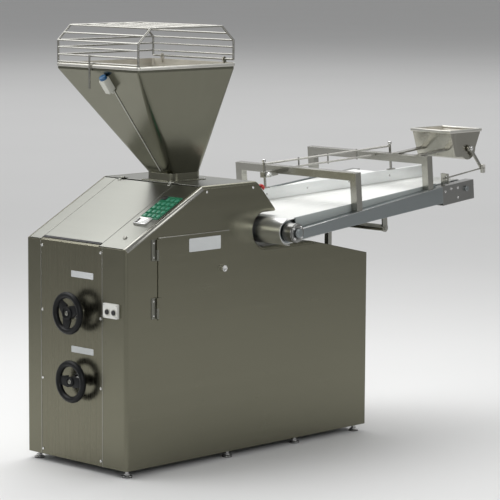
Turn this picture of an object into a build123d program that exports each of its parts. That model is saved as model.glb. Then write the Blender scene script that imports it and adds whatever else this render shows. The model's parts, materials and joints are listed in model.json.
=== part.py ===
"""Dough divider rounder: cabinet, hopper, dividing gear and rounding conveyor as separate pieces.

Machine frame while modelling: X from the front panel to the rear, Y from the door side to the
far side, Z up from the floor. Everything is shifted at the end so that the origin lies at the
bottom centre of the whole machine. Lengths are in millimetres, angles in degrees.
"""
import math
import os

from build123d import *

# Clearances
RUN = 0.05
SLIDE = 0.1
FREE = 0.3

# Cabinet
FOOT = 28.0
WIDTH = 540.0
LENGTH = 1276.0
FRONT_HEIGHT = 800.0
SLOPE_RISE = 200.0
SLOPE_RUN = 381.0
TOP_RUN = 279.0
HOOD_RUN = 104.0
HOOD_DROP = 116.0
HOOD_LIP = 4.0
HOOD_RETURN = 33.0
DECK_RUN = 196.0
REAR_FALL = 72.0
SHEET = 2.0
FLANGE = 16.0
COVER_DROP = 0.5
NEAR_RETURN = 125.0
FAR_RETURN = 82.0
STRIP_EDGE = 144.0
LID_START = 24.0
FAR_STRIP = 62.0
FOLD_R = 14.0
FOOT_PAD_R = 20.0
FOOT_PAD_T = 9.0
FOOT_SCREW_R = 7.0
FOOT_INSET = 32.0
MIDDLE_FOOT_X = 540.0
REAR_FOOT_X = 905.0
SCREW_R = 5.0
SCREW_T = 2.5
SCREW_EDGE = 20.0
SCREW_TOP = 22.0
SCREW_LOWER = 286.0
SCREW_UPPER = 540.0

# Frame
TUBE = 30.0
SILL = 40.0
POST_GAP = 10.0
FRONT_BAR_DROP = 100.0
FRAME_INSET = 20.0
CROSS_SILL_X = 200.0
GEAR_BEAM = 40.0

# Door
DOOR_X0 = 155.0
DOOR_WIDTH = 360.0
DOOR_DROP = 168.0
DOOR_HEIGHT = 299.0
DOOR_LAP = 15.0
DOOR_SHEET = 3.0
DOOR_PIN_R = 2.5
DOOR_KNUCKLE_R = 5.0
DOOR_HINGE_OUT = 6.0
HINGE_LENGTH = 38.0
HINGE_INSET = 44.0
KNOB_INSET = 35.0
KNOB_RISE = 159.0
KNOB_R = 12.0
KNOB_STEM_R = 6.0
CAM_LENGTH = 30.0

# Lid hinge
LID_PIN_R = 2.0
LID_KNUCKLE_R = 4.0
LID_HINGE_RISE = 3.0
LID_HINGE_LENGTH = 13.0
LID_HINGE_NEAR = 17.0
LID_HINGE_FAR = 32.0

# Handwheels and buttons
WHEEL_SIDE = 16.0
UPPER_OUT = 50.0
LOWER_OUT = 37.0
UPPER_HEIGHT = 552.0
LOWER_HEIGHT = 300.0
WHEEL_R = 66.0
RIM_R = 12.0
HUB_R = 19.0
SPOKE_W = 36.0
SPOKE_T = 8.0
SPINDLE_R = 8.0
BUSH_R = 26.0
BOX_Y0 = 35.0
BOX_WIDTH = 76.0
BOX_HEIGHT = 53.0
BOX_BOTTOM = 549.0
BOX_DEPTH = 10.0
WELL_FLOOR = 1.5
BUTTON_R = 9.0
BUTTON_NEAR = 17.0
BUTTON_FAR = 25.0
BUTTON_DROP = 4.0
BUTTON_STROKE = 4.0
STOP_BASE_R = 15.0
STOP_HEAD_R = 14.0
STOP_SIDE = 32.0
STOP_SHARE = 0.38

# Hopper and guard
NECK_GAP = 19.0
NECK_LENGTH = 166.0
NECK_WIDTH = 140.0
NECK_RISE = 30.0
NECK_WALL = 4.0
NECK_FLANGE = 8.0
NECK_FLANGE_T = 3.0
GEAR_SIDE = 10.0
RIM_FORWARD = 293.0
RIM_BEHIND = 27.0
RIM_WIDTH = 442.0
RIM_SIDE = 1.0
RIM_RISE = 440.0
RIM_BAND = 22.0
NECK_CORNER = 36.0
RIM_CORNER = 14.0
WIRE_R = 4.0
BAR_R = 3.5
GUARD_RISE = 135.0
GUARD_BEND = 82.0
GUARD_SHOULDER = 60.0
GUARD_INSET = 6.0
GUARD_HINGE_RISE = 12.0
GUARD_ROWS = (30.0, 57.0)
GUARD_LUG_Y = (52.0, 384.0)
LUG_T = 5.0
SWITCH_LENGTH = 58.0
SWITCH_WIDTH = 28.0
SWITCH_HEIGHT = 30.0
SWITCH_CAP_R = 14.0

# Conveyor, in its own tilted frame: u along the belt, y across, w square to the belt
TAIL_BACK = 52.0
INCLINE = 5.1
TAIL_R = 42.0
HEAD_R = 30.0
HEAD_U = 975.0
BELT = 3.0
BELT_GAP = 8.0
OVERHANG = 160.0
RAIL_INSET = 54.0
RAIL_W = 40.0
WALL = 4.0
RAIL_HEIGHT = 76.0
TAIL_LIP = 38.0
HEAD_BLOCK = 190.0
HEAD_BLOCK_PAST = 50.0
HEAD_BLOCK_HEIGHT = 76.0
HEAD_BLOCK_UP = 28.0
NOSE_GAP = 5.0
HOUSING_R = 36.0
NOTCH_GAP = 14.0
TAIL_SHAFT_R = 12.0
HEAD_SHAFT_R = 10.0
COLLAR_R = 17.0
BED_T = 10.0
CROSS_U = 499.0
CROSS_W = -68.0
CROSS_R = 13.0
POST_W = 20.0
POST_Y = (138.0, 372.0)
TAIL_BRIDGE_U = 338.0
HEAD_BRIDGE_U = 755.0
BRIDGE_CLEAR = 95.0
BRIDGE_INSET = 4.0

# Rounding guide
ROD1_AHEAD = 64.0
ROD1_IN = 224.0
ROD2_PAST = 41.0
ROD2_IN = 258.0
END_ROD_R = 5.0
LADDER_R = 4.0
RUNG_R = 3.0
LADDER_RISE = 17.0
LADDER_PITCH = 28.0
LOWER_ROD = (0.19, 0.85)
RUNGS = (0.27, 0.5, 0.73)
BOARD_HEIGHT = 45.0
BOARD_T = 12.0
BOARD_LIFT = 2.0
BOARD_TAIL = 50.0
BOARD_HEAD = 160.0
ROD_FOOT = 34.0
ROD_FOOT_T = 4.0
RUNG_PAST = 7.0
CLAMP_HEIGHT = 22.0
CLAMP_LAP = 17.0
CLAMP_WIDTH = 24.0
CLAMP_KNOB_R = 11.0
CLAMP_PIN_R = 4.0
CLAMP_SLACK = 1.5

# Flour duster
DUST_PAST = 18.0
DUST_R = 46.0
DUST_WIDTH = 196.0
DUST_INSET = 10.0
DUST_FRONT = 113.0
DUST_REAR = 79.0
DUST_RISE = 72.0
DUST_DROP = 33.0
DUST_FLOOR = 76.0
BRUSH_GAP = 4.0
BRUSH_SHAFT_R = 6.0
LEVER_DX = 70.0
LEVER_DZ = -82.0
LEVER_T = 6.0
LEVER_PIN_R = 4.0
LINK_R = 3.0
EYE_CUT = 80.0
EYE_U = 20.0
EYE_W = 33.0
LINK_BOSS_R = 9.0
LEVER_SIDE = 14.0
LINK_SIDE = 4.0
ARM_T = 6.0

# Dividing gear
BLOCK_HEIGHT = 110.0
BLOCK_GAP = 15.0
BLOCK_WIDTH = 220.0
BLOCK_FORWARD = 5.0
DRUM_BACK = 74.0
DRUM_R = 48.0
DRUM_SHAFT_R = 14.0
DRUM_WALL = 28.0
POCKET_R = 30.0
POCKET_DEPTH = 18.0
PISTON_BACK = 24.0
RAM_FLOOR = 25.0
RAM_HEIGHT = 50.0
RAM_LENGTH = 87.0
RAM_IN = 10.0
YOKE_CLEAR = 7.3
YOKE_T = 14.0
YOKE_HEIGHT = 25.0
KNIFE_DROP = 17.0
KNIFE_T = 6.0
KNIFE_LENGTH = 149.0
KNIFE_STROKE = 145.0
KNIFE_CYL_R = 10.0
CYL_SIDE = 135.0
CYL_R = 24.0
CYL_BORE_R = 20.0
CYL_START = 55.0
CYL_LENGTH = 170.0
CYL_END = 6.0
CYL_ROD_R = 8.0
CYL_RISE = 12.0
ARM_GAP = 2.0
ARM_WIDTH = 44.0
ARM_DEPTH = 14.0

DRUM_SHAFT_OUT = 70.0
GEARBOX_GAP = 55.0
GEARBOX_WIDTH = 67.0
GEARBOX_HALF = 36.0
GEARBOX_RISE = 38.0
MOTOR_R = 32.0
MOTOR_LENGTH = 156.0
MOTOR_CAP_R = 24.0
MOTOR_CAP = 12.0

# Hydraulics
TANK_X0 = 140.0
TANK_LENGTH = 460.0
TANK_WIDTH = 360.0
TANK_HEIGHT = 196.0
PUMP_R = 66.0
PUMP_RISE = 80.0
PUMP_SIDE = 70.0
PUMP_LENGTH = 240.0
VALVE_X0 = 150.0
VALVE_LENGTH = 90.0

# Heights and lengths that follow from the above
FRONT_TOP = FOOT + FRONT_HEIGHT
TOP = FRONT_TOP + SLOPE_RISE
TOP_REAR = SLOPE_RUN + TOP_RUN
HOOD_X = TOP_REAR + HOOD_RUN
HOOD_Z = TOP - HOOD_DROP
DECK_X = HOOD_X + DECK_RUN
FRONT_FAR = WIDTH - FAR_RETURN
LID_FAR = WIDTH - FLANGE - FAR_STRIP
MID_Y = WIDTH / 2
SLOPE = math.degrees(math.atan2(SLOPE_RISE, SLOPE_RUN))
SLOPE_LEN = math.hypot(SLOPE_RISE, SLOPE_RUN)
DOOR_X1 = DOOR_X0 + DOOR_WIDTH
DOOR_Z1 = TOP - DOOR_DROP
DOOR_Z0 = DOOR_Z1 - DOOR_HEIGHT
HINGE_X = DOOR_X0 - DOOR_HINGE_OUT
HINGE_Y = -DOOR_HINGE_OUT
KNOB_X = DOOR_X1 - KNOB_INSET
KNOB_Z = DOOR_Z0 + KNOB_RISE
WHEEL_Y = MID_Y - WHEEL_SIDE
UPPER_Z = FOOT + UPPER_HEIGHT
LOWER_Z = FOOT + LOWER_HEIGHT

GEAR_Y = MID_Y - GEAR_SIDE
NECK_X0 = SLOPE_RUN + NECK_GAP
NECK_X1 = NECK_X0 + NECK_LENGTH
NECK_Y0 = GEAR_Y - NECK_WIDTH / 2
NECK_Y1 = GEAR_Y + NECK_WIDTH / 2
NECK_TOP = TOP + NECK_RISE
RIM_X0 = NECK_X0 - RIM_FORWARD
RIM_X1 = NECK_X1 + RIM_BEHIND
RIM_Y0 = MID_Y - RIM_SIDE - RIM_WIDTH / 2
RIM_Y1 = RIM_Y0 + RIM_WIDTH
RIM_Z = TOP + RIM_RISE

GUARD_R = TAIL_R + BELT + NOSE_GAP
NOTCH_R = GUARD_R + NOTCH_GAP
TAIL_X = HOOD_X - TAIL_BACK
TAIL_Z = HOOD_Z - HOOD_LIP - NOTCH_R
DECK_Z = TAIL_Z - NOTCH_R
REAR_Z = DECK_Z - REAR_FALL
RAIL_NEAR = -OVERHANG
RAIL_FAR = WIDTH - RAIL_INSET
NEAR_IN = RAIL_NEAR + RAIL_W
FAR_IN = RAIL_FAR - RAIL_W
BELT_TOP = TAIL_R + BELT
WALL_TOP = BELT_TOP + NOSE_GAP
RAIL_BOTTOM = WALL_TOP - RAIL_HEIGHT
HEAD_W = TAIL_R - HEAD_R
RAIL_START = TAIL_R - 12
CONV_END = HEAD_U + HEAD_BLOCK_PAST
RAIL_END = CONV_END - HEAD_BLOCK
HEAD_TOP = HEAD_W + HEAD_BLOCK_UP
BRIDGE_UNDER = BELT_TOP + BRIDGE_CLEAR
BRIDGE_TOP = BRIDGE_UNDER + TUBE
ROD1 = (TAIL_BRIDGE_U - ROD1_AHEAD, RAIL_FAR - ROD1_IN)
ROD2 = (HEAD_BRIDGE_U + TUBE + ROD2_PAST, RAIL_NEAR + ROD2_IN)
BOARD_BOTTOM = BELT_TOP + BOARD_LIFT
BOARD_TOP = BOARD_BOTTOM + BOARD_HEIGHT
CLAMP_TOP = BRIDGE_UNDER + CLAMP_LAP
CLAMP_BOTTOM = CLAMP_TOP - CLAMP_HEIGHT
CLAMP_MID = CLAMP_TOP - CLAMP_HEIGHT / 2
LADDER_UPPER = BRIDGE_TOP + LADDER_RISE
LADDER_LOWER = LADDER_UPPER - LADDER_PITCH

BELT_SIN = math.sin(math.radians(INCLINE))
BELT_COS = math.cos(math.radians(INCLINE))
DUST_X = TAIL_X + HEAD_U + DUST_PAST
DUST_Z = TAIL_Z + HEAD_U * BELT_SIN + BRIDGE_TOP * BELT_COS
DUST_Y0 = RAIL_NEAR + DUST_INSET
DUST_Y1 = DUST_Y0 + DUST_WIDTH
LEVER_Y = DUST_Y0 - LEVER_SIDE
LINK_Y = LEVER_Y - LINK_SIDE
LINK_U = RAIL_END + EYE_U
LINK_W = HEAD_TOP + EYE_W
LINK_END_X = TAIL_X + LINK_U * BELT_COS - LINK_W * BELT_SIN
LINK_END_Z = TAIL_Z + LINK_U * BELT_SIN + LINK_W * BELT_COS

BLOCK_X0 = NECK_X0 - BLOCK_FORWARD
BLOCK_Z1 = TOP - BLOCK_GAP
BLOCK_Z0 = BLOCK_Z1 - BLOCK_HEIGHT
BLOCK_Y0 = GEAR_Y - BLOCK_WIDTH / 2
BLOCK_Y1 = GEAR_Y + BLOCK_WIDTH / 2
DRUM_X = NECK_X1 + DRUM_BACK
BLOCK_X1 = DRUM_X - DRUM_WALL
RAM_Z0 = BLOCK_Z0 + RAM_FLOOR
RAM_Z1 = RAM_Z0 + RAM_HEIGHT
DRUM_Z = (RAM_Z0 + RAM_Z1) / 2
RAM_FACE = BLOCK_X0 + RAM_IN
RAM_BACK = RAM_FACE - RAM_LENGTH
YOKE_Z1 = RAM_Z0 + YOKE_HEIGHT
YOKE_X0 = (YOKE_Z1 + YOKE_CLEAR - FRONT_TOP) * SLOPE_RUN / SLOPE_RISE
YOKE_X1 = YOKE_X0 + YOKE_T
KNIFE_Z = BLOCK_Z1 - KNIFE_DROP
KNIFE_OPEN_Y = NECK_Y1 + 5
KNIFE_END_Y = KNIFE_OPEN_Y + KNIFE_LENGTH
KNIFE_ROD_X = BLOCK_X0 - 15
CYL_Y = (GEAR_Y - CYL_SIDE, GEAR_Y + CYL_SIDE)
CYL_Z = RAM_Z0 + CYL_RISE
CYL_X0 = BLOCK_X0 + CYL_START
CYL_X1 = CYL_X0 + CYL_LENGTH
WEIGHT_ARM_X = YOKE_X0 - ARM_GAP - ARM_DEPTH
SPINDLE_END = WEIGHT_ARM_X + ARM_DEPTH + 25
SPINDLE_BAR_X = DOOR_X0 + DOOR_LAP - POST_GAP - TUBE
GEAR_POST_X = DOOR_X1 - DOOR_LAP + POST_GAP
GEAR_BEAM_X = BLOCK_X1 - 2
BEAM_END = GEAR_BEAM_X + GEAR_BEAM
SILL_TOP = FOOT + SHEET + SILL
TANK_TOP = SILL_TOP + TANK_HEIGHT

LOW = (Align.MIN, Align.MIN, Align.MIN)
UP = (Align.CENTER, Align.CENTER, Align.MIN)


def block(x0, x1, y0, y1, z0, z1):
    """Box between two opposite corners."""
    return Pos(x0, y0, z0) * Box(x1 - x0, y1 - y0, z1 - z0, align=LOW)


def rod_x(y, z, r, x0, x1):
    """Round bar along X."""
    return Pos(x0, y, z) * Rot(0, 90, 0) * Cylinder(r, x1 - x0, align=UP)


def rod_y(x, z, r, y0, y1):
    """Round bar along Y."""
    return Pos(x, y0, z) * Rot(-90, 0, 0) * Cylinder(r, y1 - y0, align=UP)


def rod_z(x, y, r, z0, z1):
    """Round bar along Z."""
    return Pos(x, y, z0) * Cylinder(r, z1 - z0, align=UP)


def rod(p, q, r):
    """Round bar between two points."""
    start, end = Vector(*p), Vector(*q)
    axis = end - start
    return Plane(origin=start, z_dir=axis) * Cylinder(r, axis.length, align=UP)


def prism(sketch, y0, y1):
    """Flat sketch in X and Z, drawn out along Y."""
    return Pos(0, y0, 0) * extrude(Plane.XZ * sketch, amount=y1 - y0, dir=(0, 1, 0))


def slab(points, y0, y1):
    """Polygon drawn in X and Z, drawn out along Y."""
    return prism(Polygon(*points, align=None), y0, y1)


def on_slope(part):
    """Place a piece drawn along the front slope, measured from its lower front edge."""
    return Location((0, 0, FRONT_TOP), (0, -SLOPE, 0)) * part


def on_belt(part):
    """Place a piece drawn in the tilted conveyor frame."""
    return Location((TAIL_X, 0, TAIL_Z), (0, -INCLINE, 0)) * part


def hood_normal():
    """Outward direction of the sloped rear hood, in X and Z."""
    run = math.hypot(HOOD_RUN, HOOD_DROP)
    return HOOD_DROP / run, HOOD_RUN / run


def deck_z(x):
    """Height of the rear deck's upper face on its falling stretch."""
    fall = REAR_FALL / (LENGTH - SHEET - 1 - DECK_X)
    return DECK_Z - COVER_DROP - fall * (x - DECK_X)


def ledge(u):
    """Height of a rail's outer ledge, which rises from the tail to the head block's top."""
    low = WALL_TOP - TAIL_LIP
    return low + (HEAD_TOP - low) * (u - RAIL_START) / (RAIL_END - RAIL_START)


def side_sketch(inset):
    """Outline of a side panel, drawn in by an inset."""
    notch_top = TAIL_Z + NOTCH_R
    outline = Polygon(
        (0, FOOT), (LENGTH, FOOT), (LENGTH, REAR_Z), (DECK_X, DECK_Z), (TAIL_X, DECK_Z),
        (TAIL_X, notch_top), (HOOD_X, notch_top), (HOOD_X, HOOD_Z),
        (TOP_REAR, TOP), (SLOPE_RUN, TOP), (0, FRONT_TOP), align=None)
    outline -= Pos(TAIL_X, TAIL_Z) * Circle(NOTCH_R)
    if inset:
        outline = offset(outline, amount=-inset, kind=Kind.INTERSECTION)
    return outline


def tray(inset, outer, inner, radius):
    """Side outline between two planes across Y, with rounded folds at the outer one."""
    solid = prism(side_sketch(inset), min(outer, inner), max(outer, inner))
    folds = [edge for edge in solid.edges() if abs(edge.center().Y - outer) < 0.01
             and edge.center().X < TOP_REAR and edge.center().Z > FOOT + FLANGE and edge.length > FLANGE]
    folds = [edge for edge in folds if abs(edge.tangent_at(0).Y) < 0.01]
    return fillet(folds, radius)


def side_panel(near):
    """Folded side panel with a turned rim, a front return and a lip behind the front cover."""
    lap = 20.0
    face, into = (0, 1) if near else (WIDTH, -1)
    f0, f1 = (FOLD_R, NEAR_RETURN) if near else (FRONT_FAR, WIDTH - FOLD_R)
    seam = NEAR_RETURN if near else FRONT_FAR
    panel = tray(0, face, face + into * FLANGE, FOLD_R)
    panel -= tray(SHEET, face + into * SHEET, face + into * (FLANGE + 1), FOLD_R - SHEET)
    panel += block(0, SHEET, f0, f1, FOOT, FRONT_TOP - 1)
    panel += block(SHEET, 2 * SHEET, seam - lap, seam + lap, FOOT + 4, FRONT_TOP - 8)
    if near:
        panel -= block(DOOR_X0 + DOOR_LAP, DOOR_X1 - DOOR_LAP, -1, FLANGE,
                       DOOR_Z0 + DOOR_LAP, DOOR_Z1 - DOOR_LAP)
    return panel


def frame_bars():
    """Square bars of the welded frame, each a solid that meets its neighbours face to face."""
    near0, near1 = FLANGE, FLANGE + TUBE
    far0, far1 = WIDTH - FLANGE - TUBE, WIDTH - FLANGE
    sill0 = FOOT + SHEET
    beam0, beam1 = BLOCK_Z0 - TUBE, BLOCK_Z0
    rear_post = LENGTH - TUBE - 16
    posts = ((FRAME_INSET, FRONT_TOP - 20), (SPINDLE_BAR_X, beam0 + 14), (GEAR_POST_X, beam0),
             (GEAR_BEAM_X, beam0), (rear_post, REAR_Z - 30))
    bars = []
    for y0, y1 in ((near0, near1), (far0, far1)):
        bars.append(block(4, LENGTH - 4, y0, y1, sill0, SILL_TOP))
        bars.append(block(SPINDLE_BAR_X + TUBE, BEAM_END, y0, y1, beam0, beam1))
        for x, top in posts:
            bars.append(block(x, x + TUBE, y0, y1, SILL_TOP, top))
    for x in (FRAME_INSET, CROSS_SILL_X, GEAR_POST_X, rear_post):
        bars.append(block(x, x + TUBE, near1, far0, sill0, SILL_TOP))
    for x, width in ((BLOCK_X0 + 15, TUBE), (GEAR_BEAM_X, GEAR_BEAM)):
        bars.append(block(x, x + width, near1, far0, beam0, beam1))
    half = TUBE / 2
    spindle_bar = block(SPINDLE_BAR_X, SPINDLE_BAR_X + TUBE, near1, far0, UPPER_Z - half, UPPER_Z + half)
    hole = rod_x(WHEEL_Y, UPPER_Z, SPINDLE_R + 1, SPINDLE_BAR_X - 1, SPINDLE_BAR_X + TUBE + 1)
    bars.append(spindle_bar - hole)
    bar_z = FRONT_TOP - FRONT_BAR_DROP
    bars.append(block(FRAME_INSET, FRAME_INSET + TUBE, near1, far0, bar_z, bar_z + TUBE))
    return bars


def covers():
    """Front panel, control strip, top cover, rear hood, rear deck and rear panel."""
    out = {}
    under, lower = -COVER_DROP - SHEET, -COVER_DROP - 2 * SHEET - FREE
    front = block(0, SHEET, NEAR_RETURN + 1, FRONT_FAR - 1, FOOT, FRONT_TOP - 1)
    front += on_slope(block(1, LID_START - 2, STRIP_EDGE + 2, FRONT_FAR - 1, under, -COVER_DROP))
    for z in (UPPER_Z, LOWER_Z):
        front -= rod_x(WHEEL_Y, z, SPINDLE_R + 1, -1, SHEET + 1)
    out["front_panel"] = front

    strip = block(5, SLOPE_LEN - 6, FLANGE, STRIP_EDGE, under, -COVER_DROP)
    strip += block(5, SLOPE_LEN - 6, LID_FAR, WIDTH - FLANGE, under, -COVER_DROP)
    rest, end = 14.0, SLOPE_LEN - 12
    for edge, out_of_lid in ((STRIP_EDGE, -1), (LID_FAR, 1)):
        ends = sorted((edge + 12 * out_of_lid, edge - rest * out_of_lid))
        strip += block(LID_START, end, *ends, lower, lower + SHEET)
        ends = sorted((edge + 12 * out_of_lid, edge + 2 * out_of_lid))
        strip += block(LID_START, end, *ends, lower + SHEET, under)
    strip += block(end - 20, end, STRIP_EDGE + rest, LID_FAR - rest, lower, lower + SHEET)
    out["control_strip"] = on_slope(strip)

    cover = block(SLOPE_RUN + 3, TOP_REAR - 3, FLANGE, WIDTH - FLANGE,
                  TOP - COVER_DROP - SHEET, TOP - COVER_DROP)
    cover -= block(NECK_X0 - 2, NECK_X1 + 2, NECK_Y0 - 2, NECK_Y1 + 2, TOP - 10, TOP + 10)
    out["top_cover"] = cover

    nx, nz = hood_normal()
    high, low = COVER_DROP, COVER_DROP + SHEET
    hood = slab([(TOP_REAR - high * nx, TOP - high * nz), (HOOD_X - high * nx, HOOD_Z - high * nz),
                 (HOOD_X - low * nx, HOOD_Z - low * nz), (TOP_REAR - low * nx, TOP - low * nz)],
                FLANGE, WIDTH - FLANGE)
    hood += block(HOOD_X - HOOD_RETURN - 1, HOOD_X - 1, FLANGE, WIDTH - FLANGE, HOOD_Z - SHEET, HOOD_Z)
    out["rear_hood"] = hood

    start, end = TAIL_X + 6, LENGTH - SHEET - 1
    out["rear_deck"] = slab(
        [(start, DECK_Z - high), (DECK_X, DECK_Z - high), (end, REAR_Z - high),
         (end, REAR_Z - low), (DECK_X, DECK_Z - low), (start, DECK_Z - low)], FLANGE, WIDTH - FLANGE)
    out["rear_panel"] = block(LENGTH - SHEET, LENGTH, FLANGE, WIDTH - FLANGE, FOOT, REAR_Z - 5)
    return out


def cabinet():
    """Frame, panels, covers, feet and screws."""
    out = {"base_frame": Compound(children=frame_bars())}
    out["near_side_panel"] = side_panel(True)
    out["far_side_panel"] = side_panel(False)
    out.update(covers())

    feet = []
    for x in (FOOT_INSET, MIDDLE_FOOT_X, REAR_FOOT_X, LENGTH - FOOT_INSET):
        for y in (FLANGE + TUBE / 2, WIDTH - FLANGE - TUBE / 2):
            pad = rod_z(x, y, FOOT_PAD_R, 0, FOOT_PAD_T)
            feet.append(pad + rod_z(x, y, FOOT_SCREW_R, FOOT_PAD_T, FOOT + SHEET))
    out["levelling_feet"] = Compound(children=feet)

    screws = []
    for z in (SCREW_EDGE, SCREW_LOWER, SCREW_UPPER, FRONT_HEIGHT - SCREW_TOP):
        for y in (NEAR_RETURN + 8, FRONT_FAR - 8):
            screws.append(rod_x(y, FOOT + z, SCREW_R, -SCREW_T, 0))
    for u, w in ((15, -22), (50, -16), (90, -18), (90, -56)):
        head = rod_y(RAIL_END + u, HEAD_TOP + w, SCREW_R + 1, RAIL_NEAR - 2 * SCREW_T, RAIL_NEAR)
        screws.append(on_belt(head))
    for x in (SLOPE_RUN + 19, TOP_REAR - 20):
        screws.append(rod_y(x, TOP - 22, SCREW_R, -SCREW_T, 0))
    out["panel_screws"] = Compound(children=screws)
    return out


def lid_and_door():
    """Front slope lid, side door, their hinges and the door's turn knob."""
    out = {}
    top, bottom = -COVER_DROP, -COVER_DROP - SHEET
    y0, y1 = STRIP_EDGE + 2, LID_FAR - 2
    u, n, r, length = SLOPE_LEN - 1, LID_HINGE_RISE, LID_KNUCKLE_R, LID_HINGE_LENGTH
    lid = block(LID_START, SLOPE_LEN - 8, y0, y1, bottom, top)
    lid += block(LID_START, LID_START + SHEET, y0 + 16, y1 - 16, bottom - 12, bottom)
    leaves = []
    for y in (STRIP_EDGE + LID_HINGE_NEAR, LID_FAR - LID_HINGE_FAR):
        knuckle = rod_y(u, n, r, y + FREE, y + length)
        knuckle += block(SLOPE_LEN - 16, u, y + FREE, y + length, top, n - 1)
        lid += knuckle - rod_y(u, n, LID_PIN_R + RUN, y - 1, y + length + 1)
        leaf = on_slope(rod_y(u, n, r, y - length, y) + rod_y(u, n, LID_PIN_R, y - length, y + length))
        leaf += block(SLOPE_RUN - 2, SLOPE_RUN + 16, y - length, y, TOP - COVER_DROP, TOP + 1.5)
        leaves.append(leaf)
    out["slope_lid"] = on_slope(lid)

    face = -FREE - DOOR_SHEET
    r, length = DOOR_KNUCKLE_R, HINGE_LENGTH
    door = block(DOOR_X0, DOOR_X1, face, -FREE, DOOR_Z0, DOOR_Z1)
    for z in (DOOR_Z0 + HINGE_INSET, DOOR_Z1 - HINGE_INSET):
        knuckle = rod_z(HINGE_X, HINGE_Y, r, z + FREE, z + length)
        knuckle += block(HINGE_X, DOOR_X0 + 12, HINGE_Y - 2, face, z + FREE, z + length)
        door += knuckle - rod_z(HINGE_X, HINGE_Y, DOOR_PIN_R + RUN, z - 1, z + length + 1)
        leaf = rod_z(HINGE_X, HINGE_Y, r, z - length, z)
        leaf += rod_z(HINGE_X, HINGE_Y, DOOR_PIN_R, z - length, z + length)
        leaf += block(HINGE_X - 4, HINGE_X + 2, HINGE_Y, 0, z - length, z)
        plate = block(HINGE_X - 26, HINGE_X + 2, -SHEET, 0, z - length, z + length)
        leaves.append(leaf + (plate - rod_z(HINGE_X, HINGE_Y, r + FREE, z, z + length + 1)))
    out["side_door"] = door - rod_y(KNOB_X, KNOB_Z, KNOB_STEM_R + RUN, face - 1, 1)
    out["cover_hinges"] = Compound(children=leaves)

    cam0, cam1 = SHEET + FREE, 2 * SHEET + FREE + 1
    knob = rod_y(KNOB_X, KNOB_Z, KNOB_R, face - 13, face)
    knob += rod_y(KNOB_X, KNOB_Z, KNOB_STEM_R, face, cam1)
    knob += block(KNOB_X - 7, KNOB_X + 7, cam0, cam1, KNOB_Z - 7, KNOB_Z + CAM_LENGTH)
    out["door_knob"] = knob
    return out


def handwheel(z, reach, spokes, turn):
    """Wheel with a round rim, flat spokes and a hub bored for its spindle, at a reach from the front."""
    centre = Pos(-reach, WHEEL_Y, z)
    wheel = centre * Rot(0, 90, 0) * Torus(WHEEL_R, RIM_R)
    wheel += rod_x(WHEEL_Y, z, HUB_R, -reach - 8, -reach + 22)
    for i in range(spokes):
        bar = block(-SPOKE_T / 2, SPOKE_T / 2, SPINDLE_R + 2, WHEEL_R, -SPOKE_W / 2, SPOKE_W / 2)
        wheel += centre * Rot(turn + i * 360.0 / spokes, 0, 0) * bar
    return wheel - rod_x(WHEEL_Y, z, SPINDLE_R, -reach - 9, -reach + 30)


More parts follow.
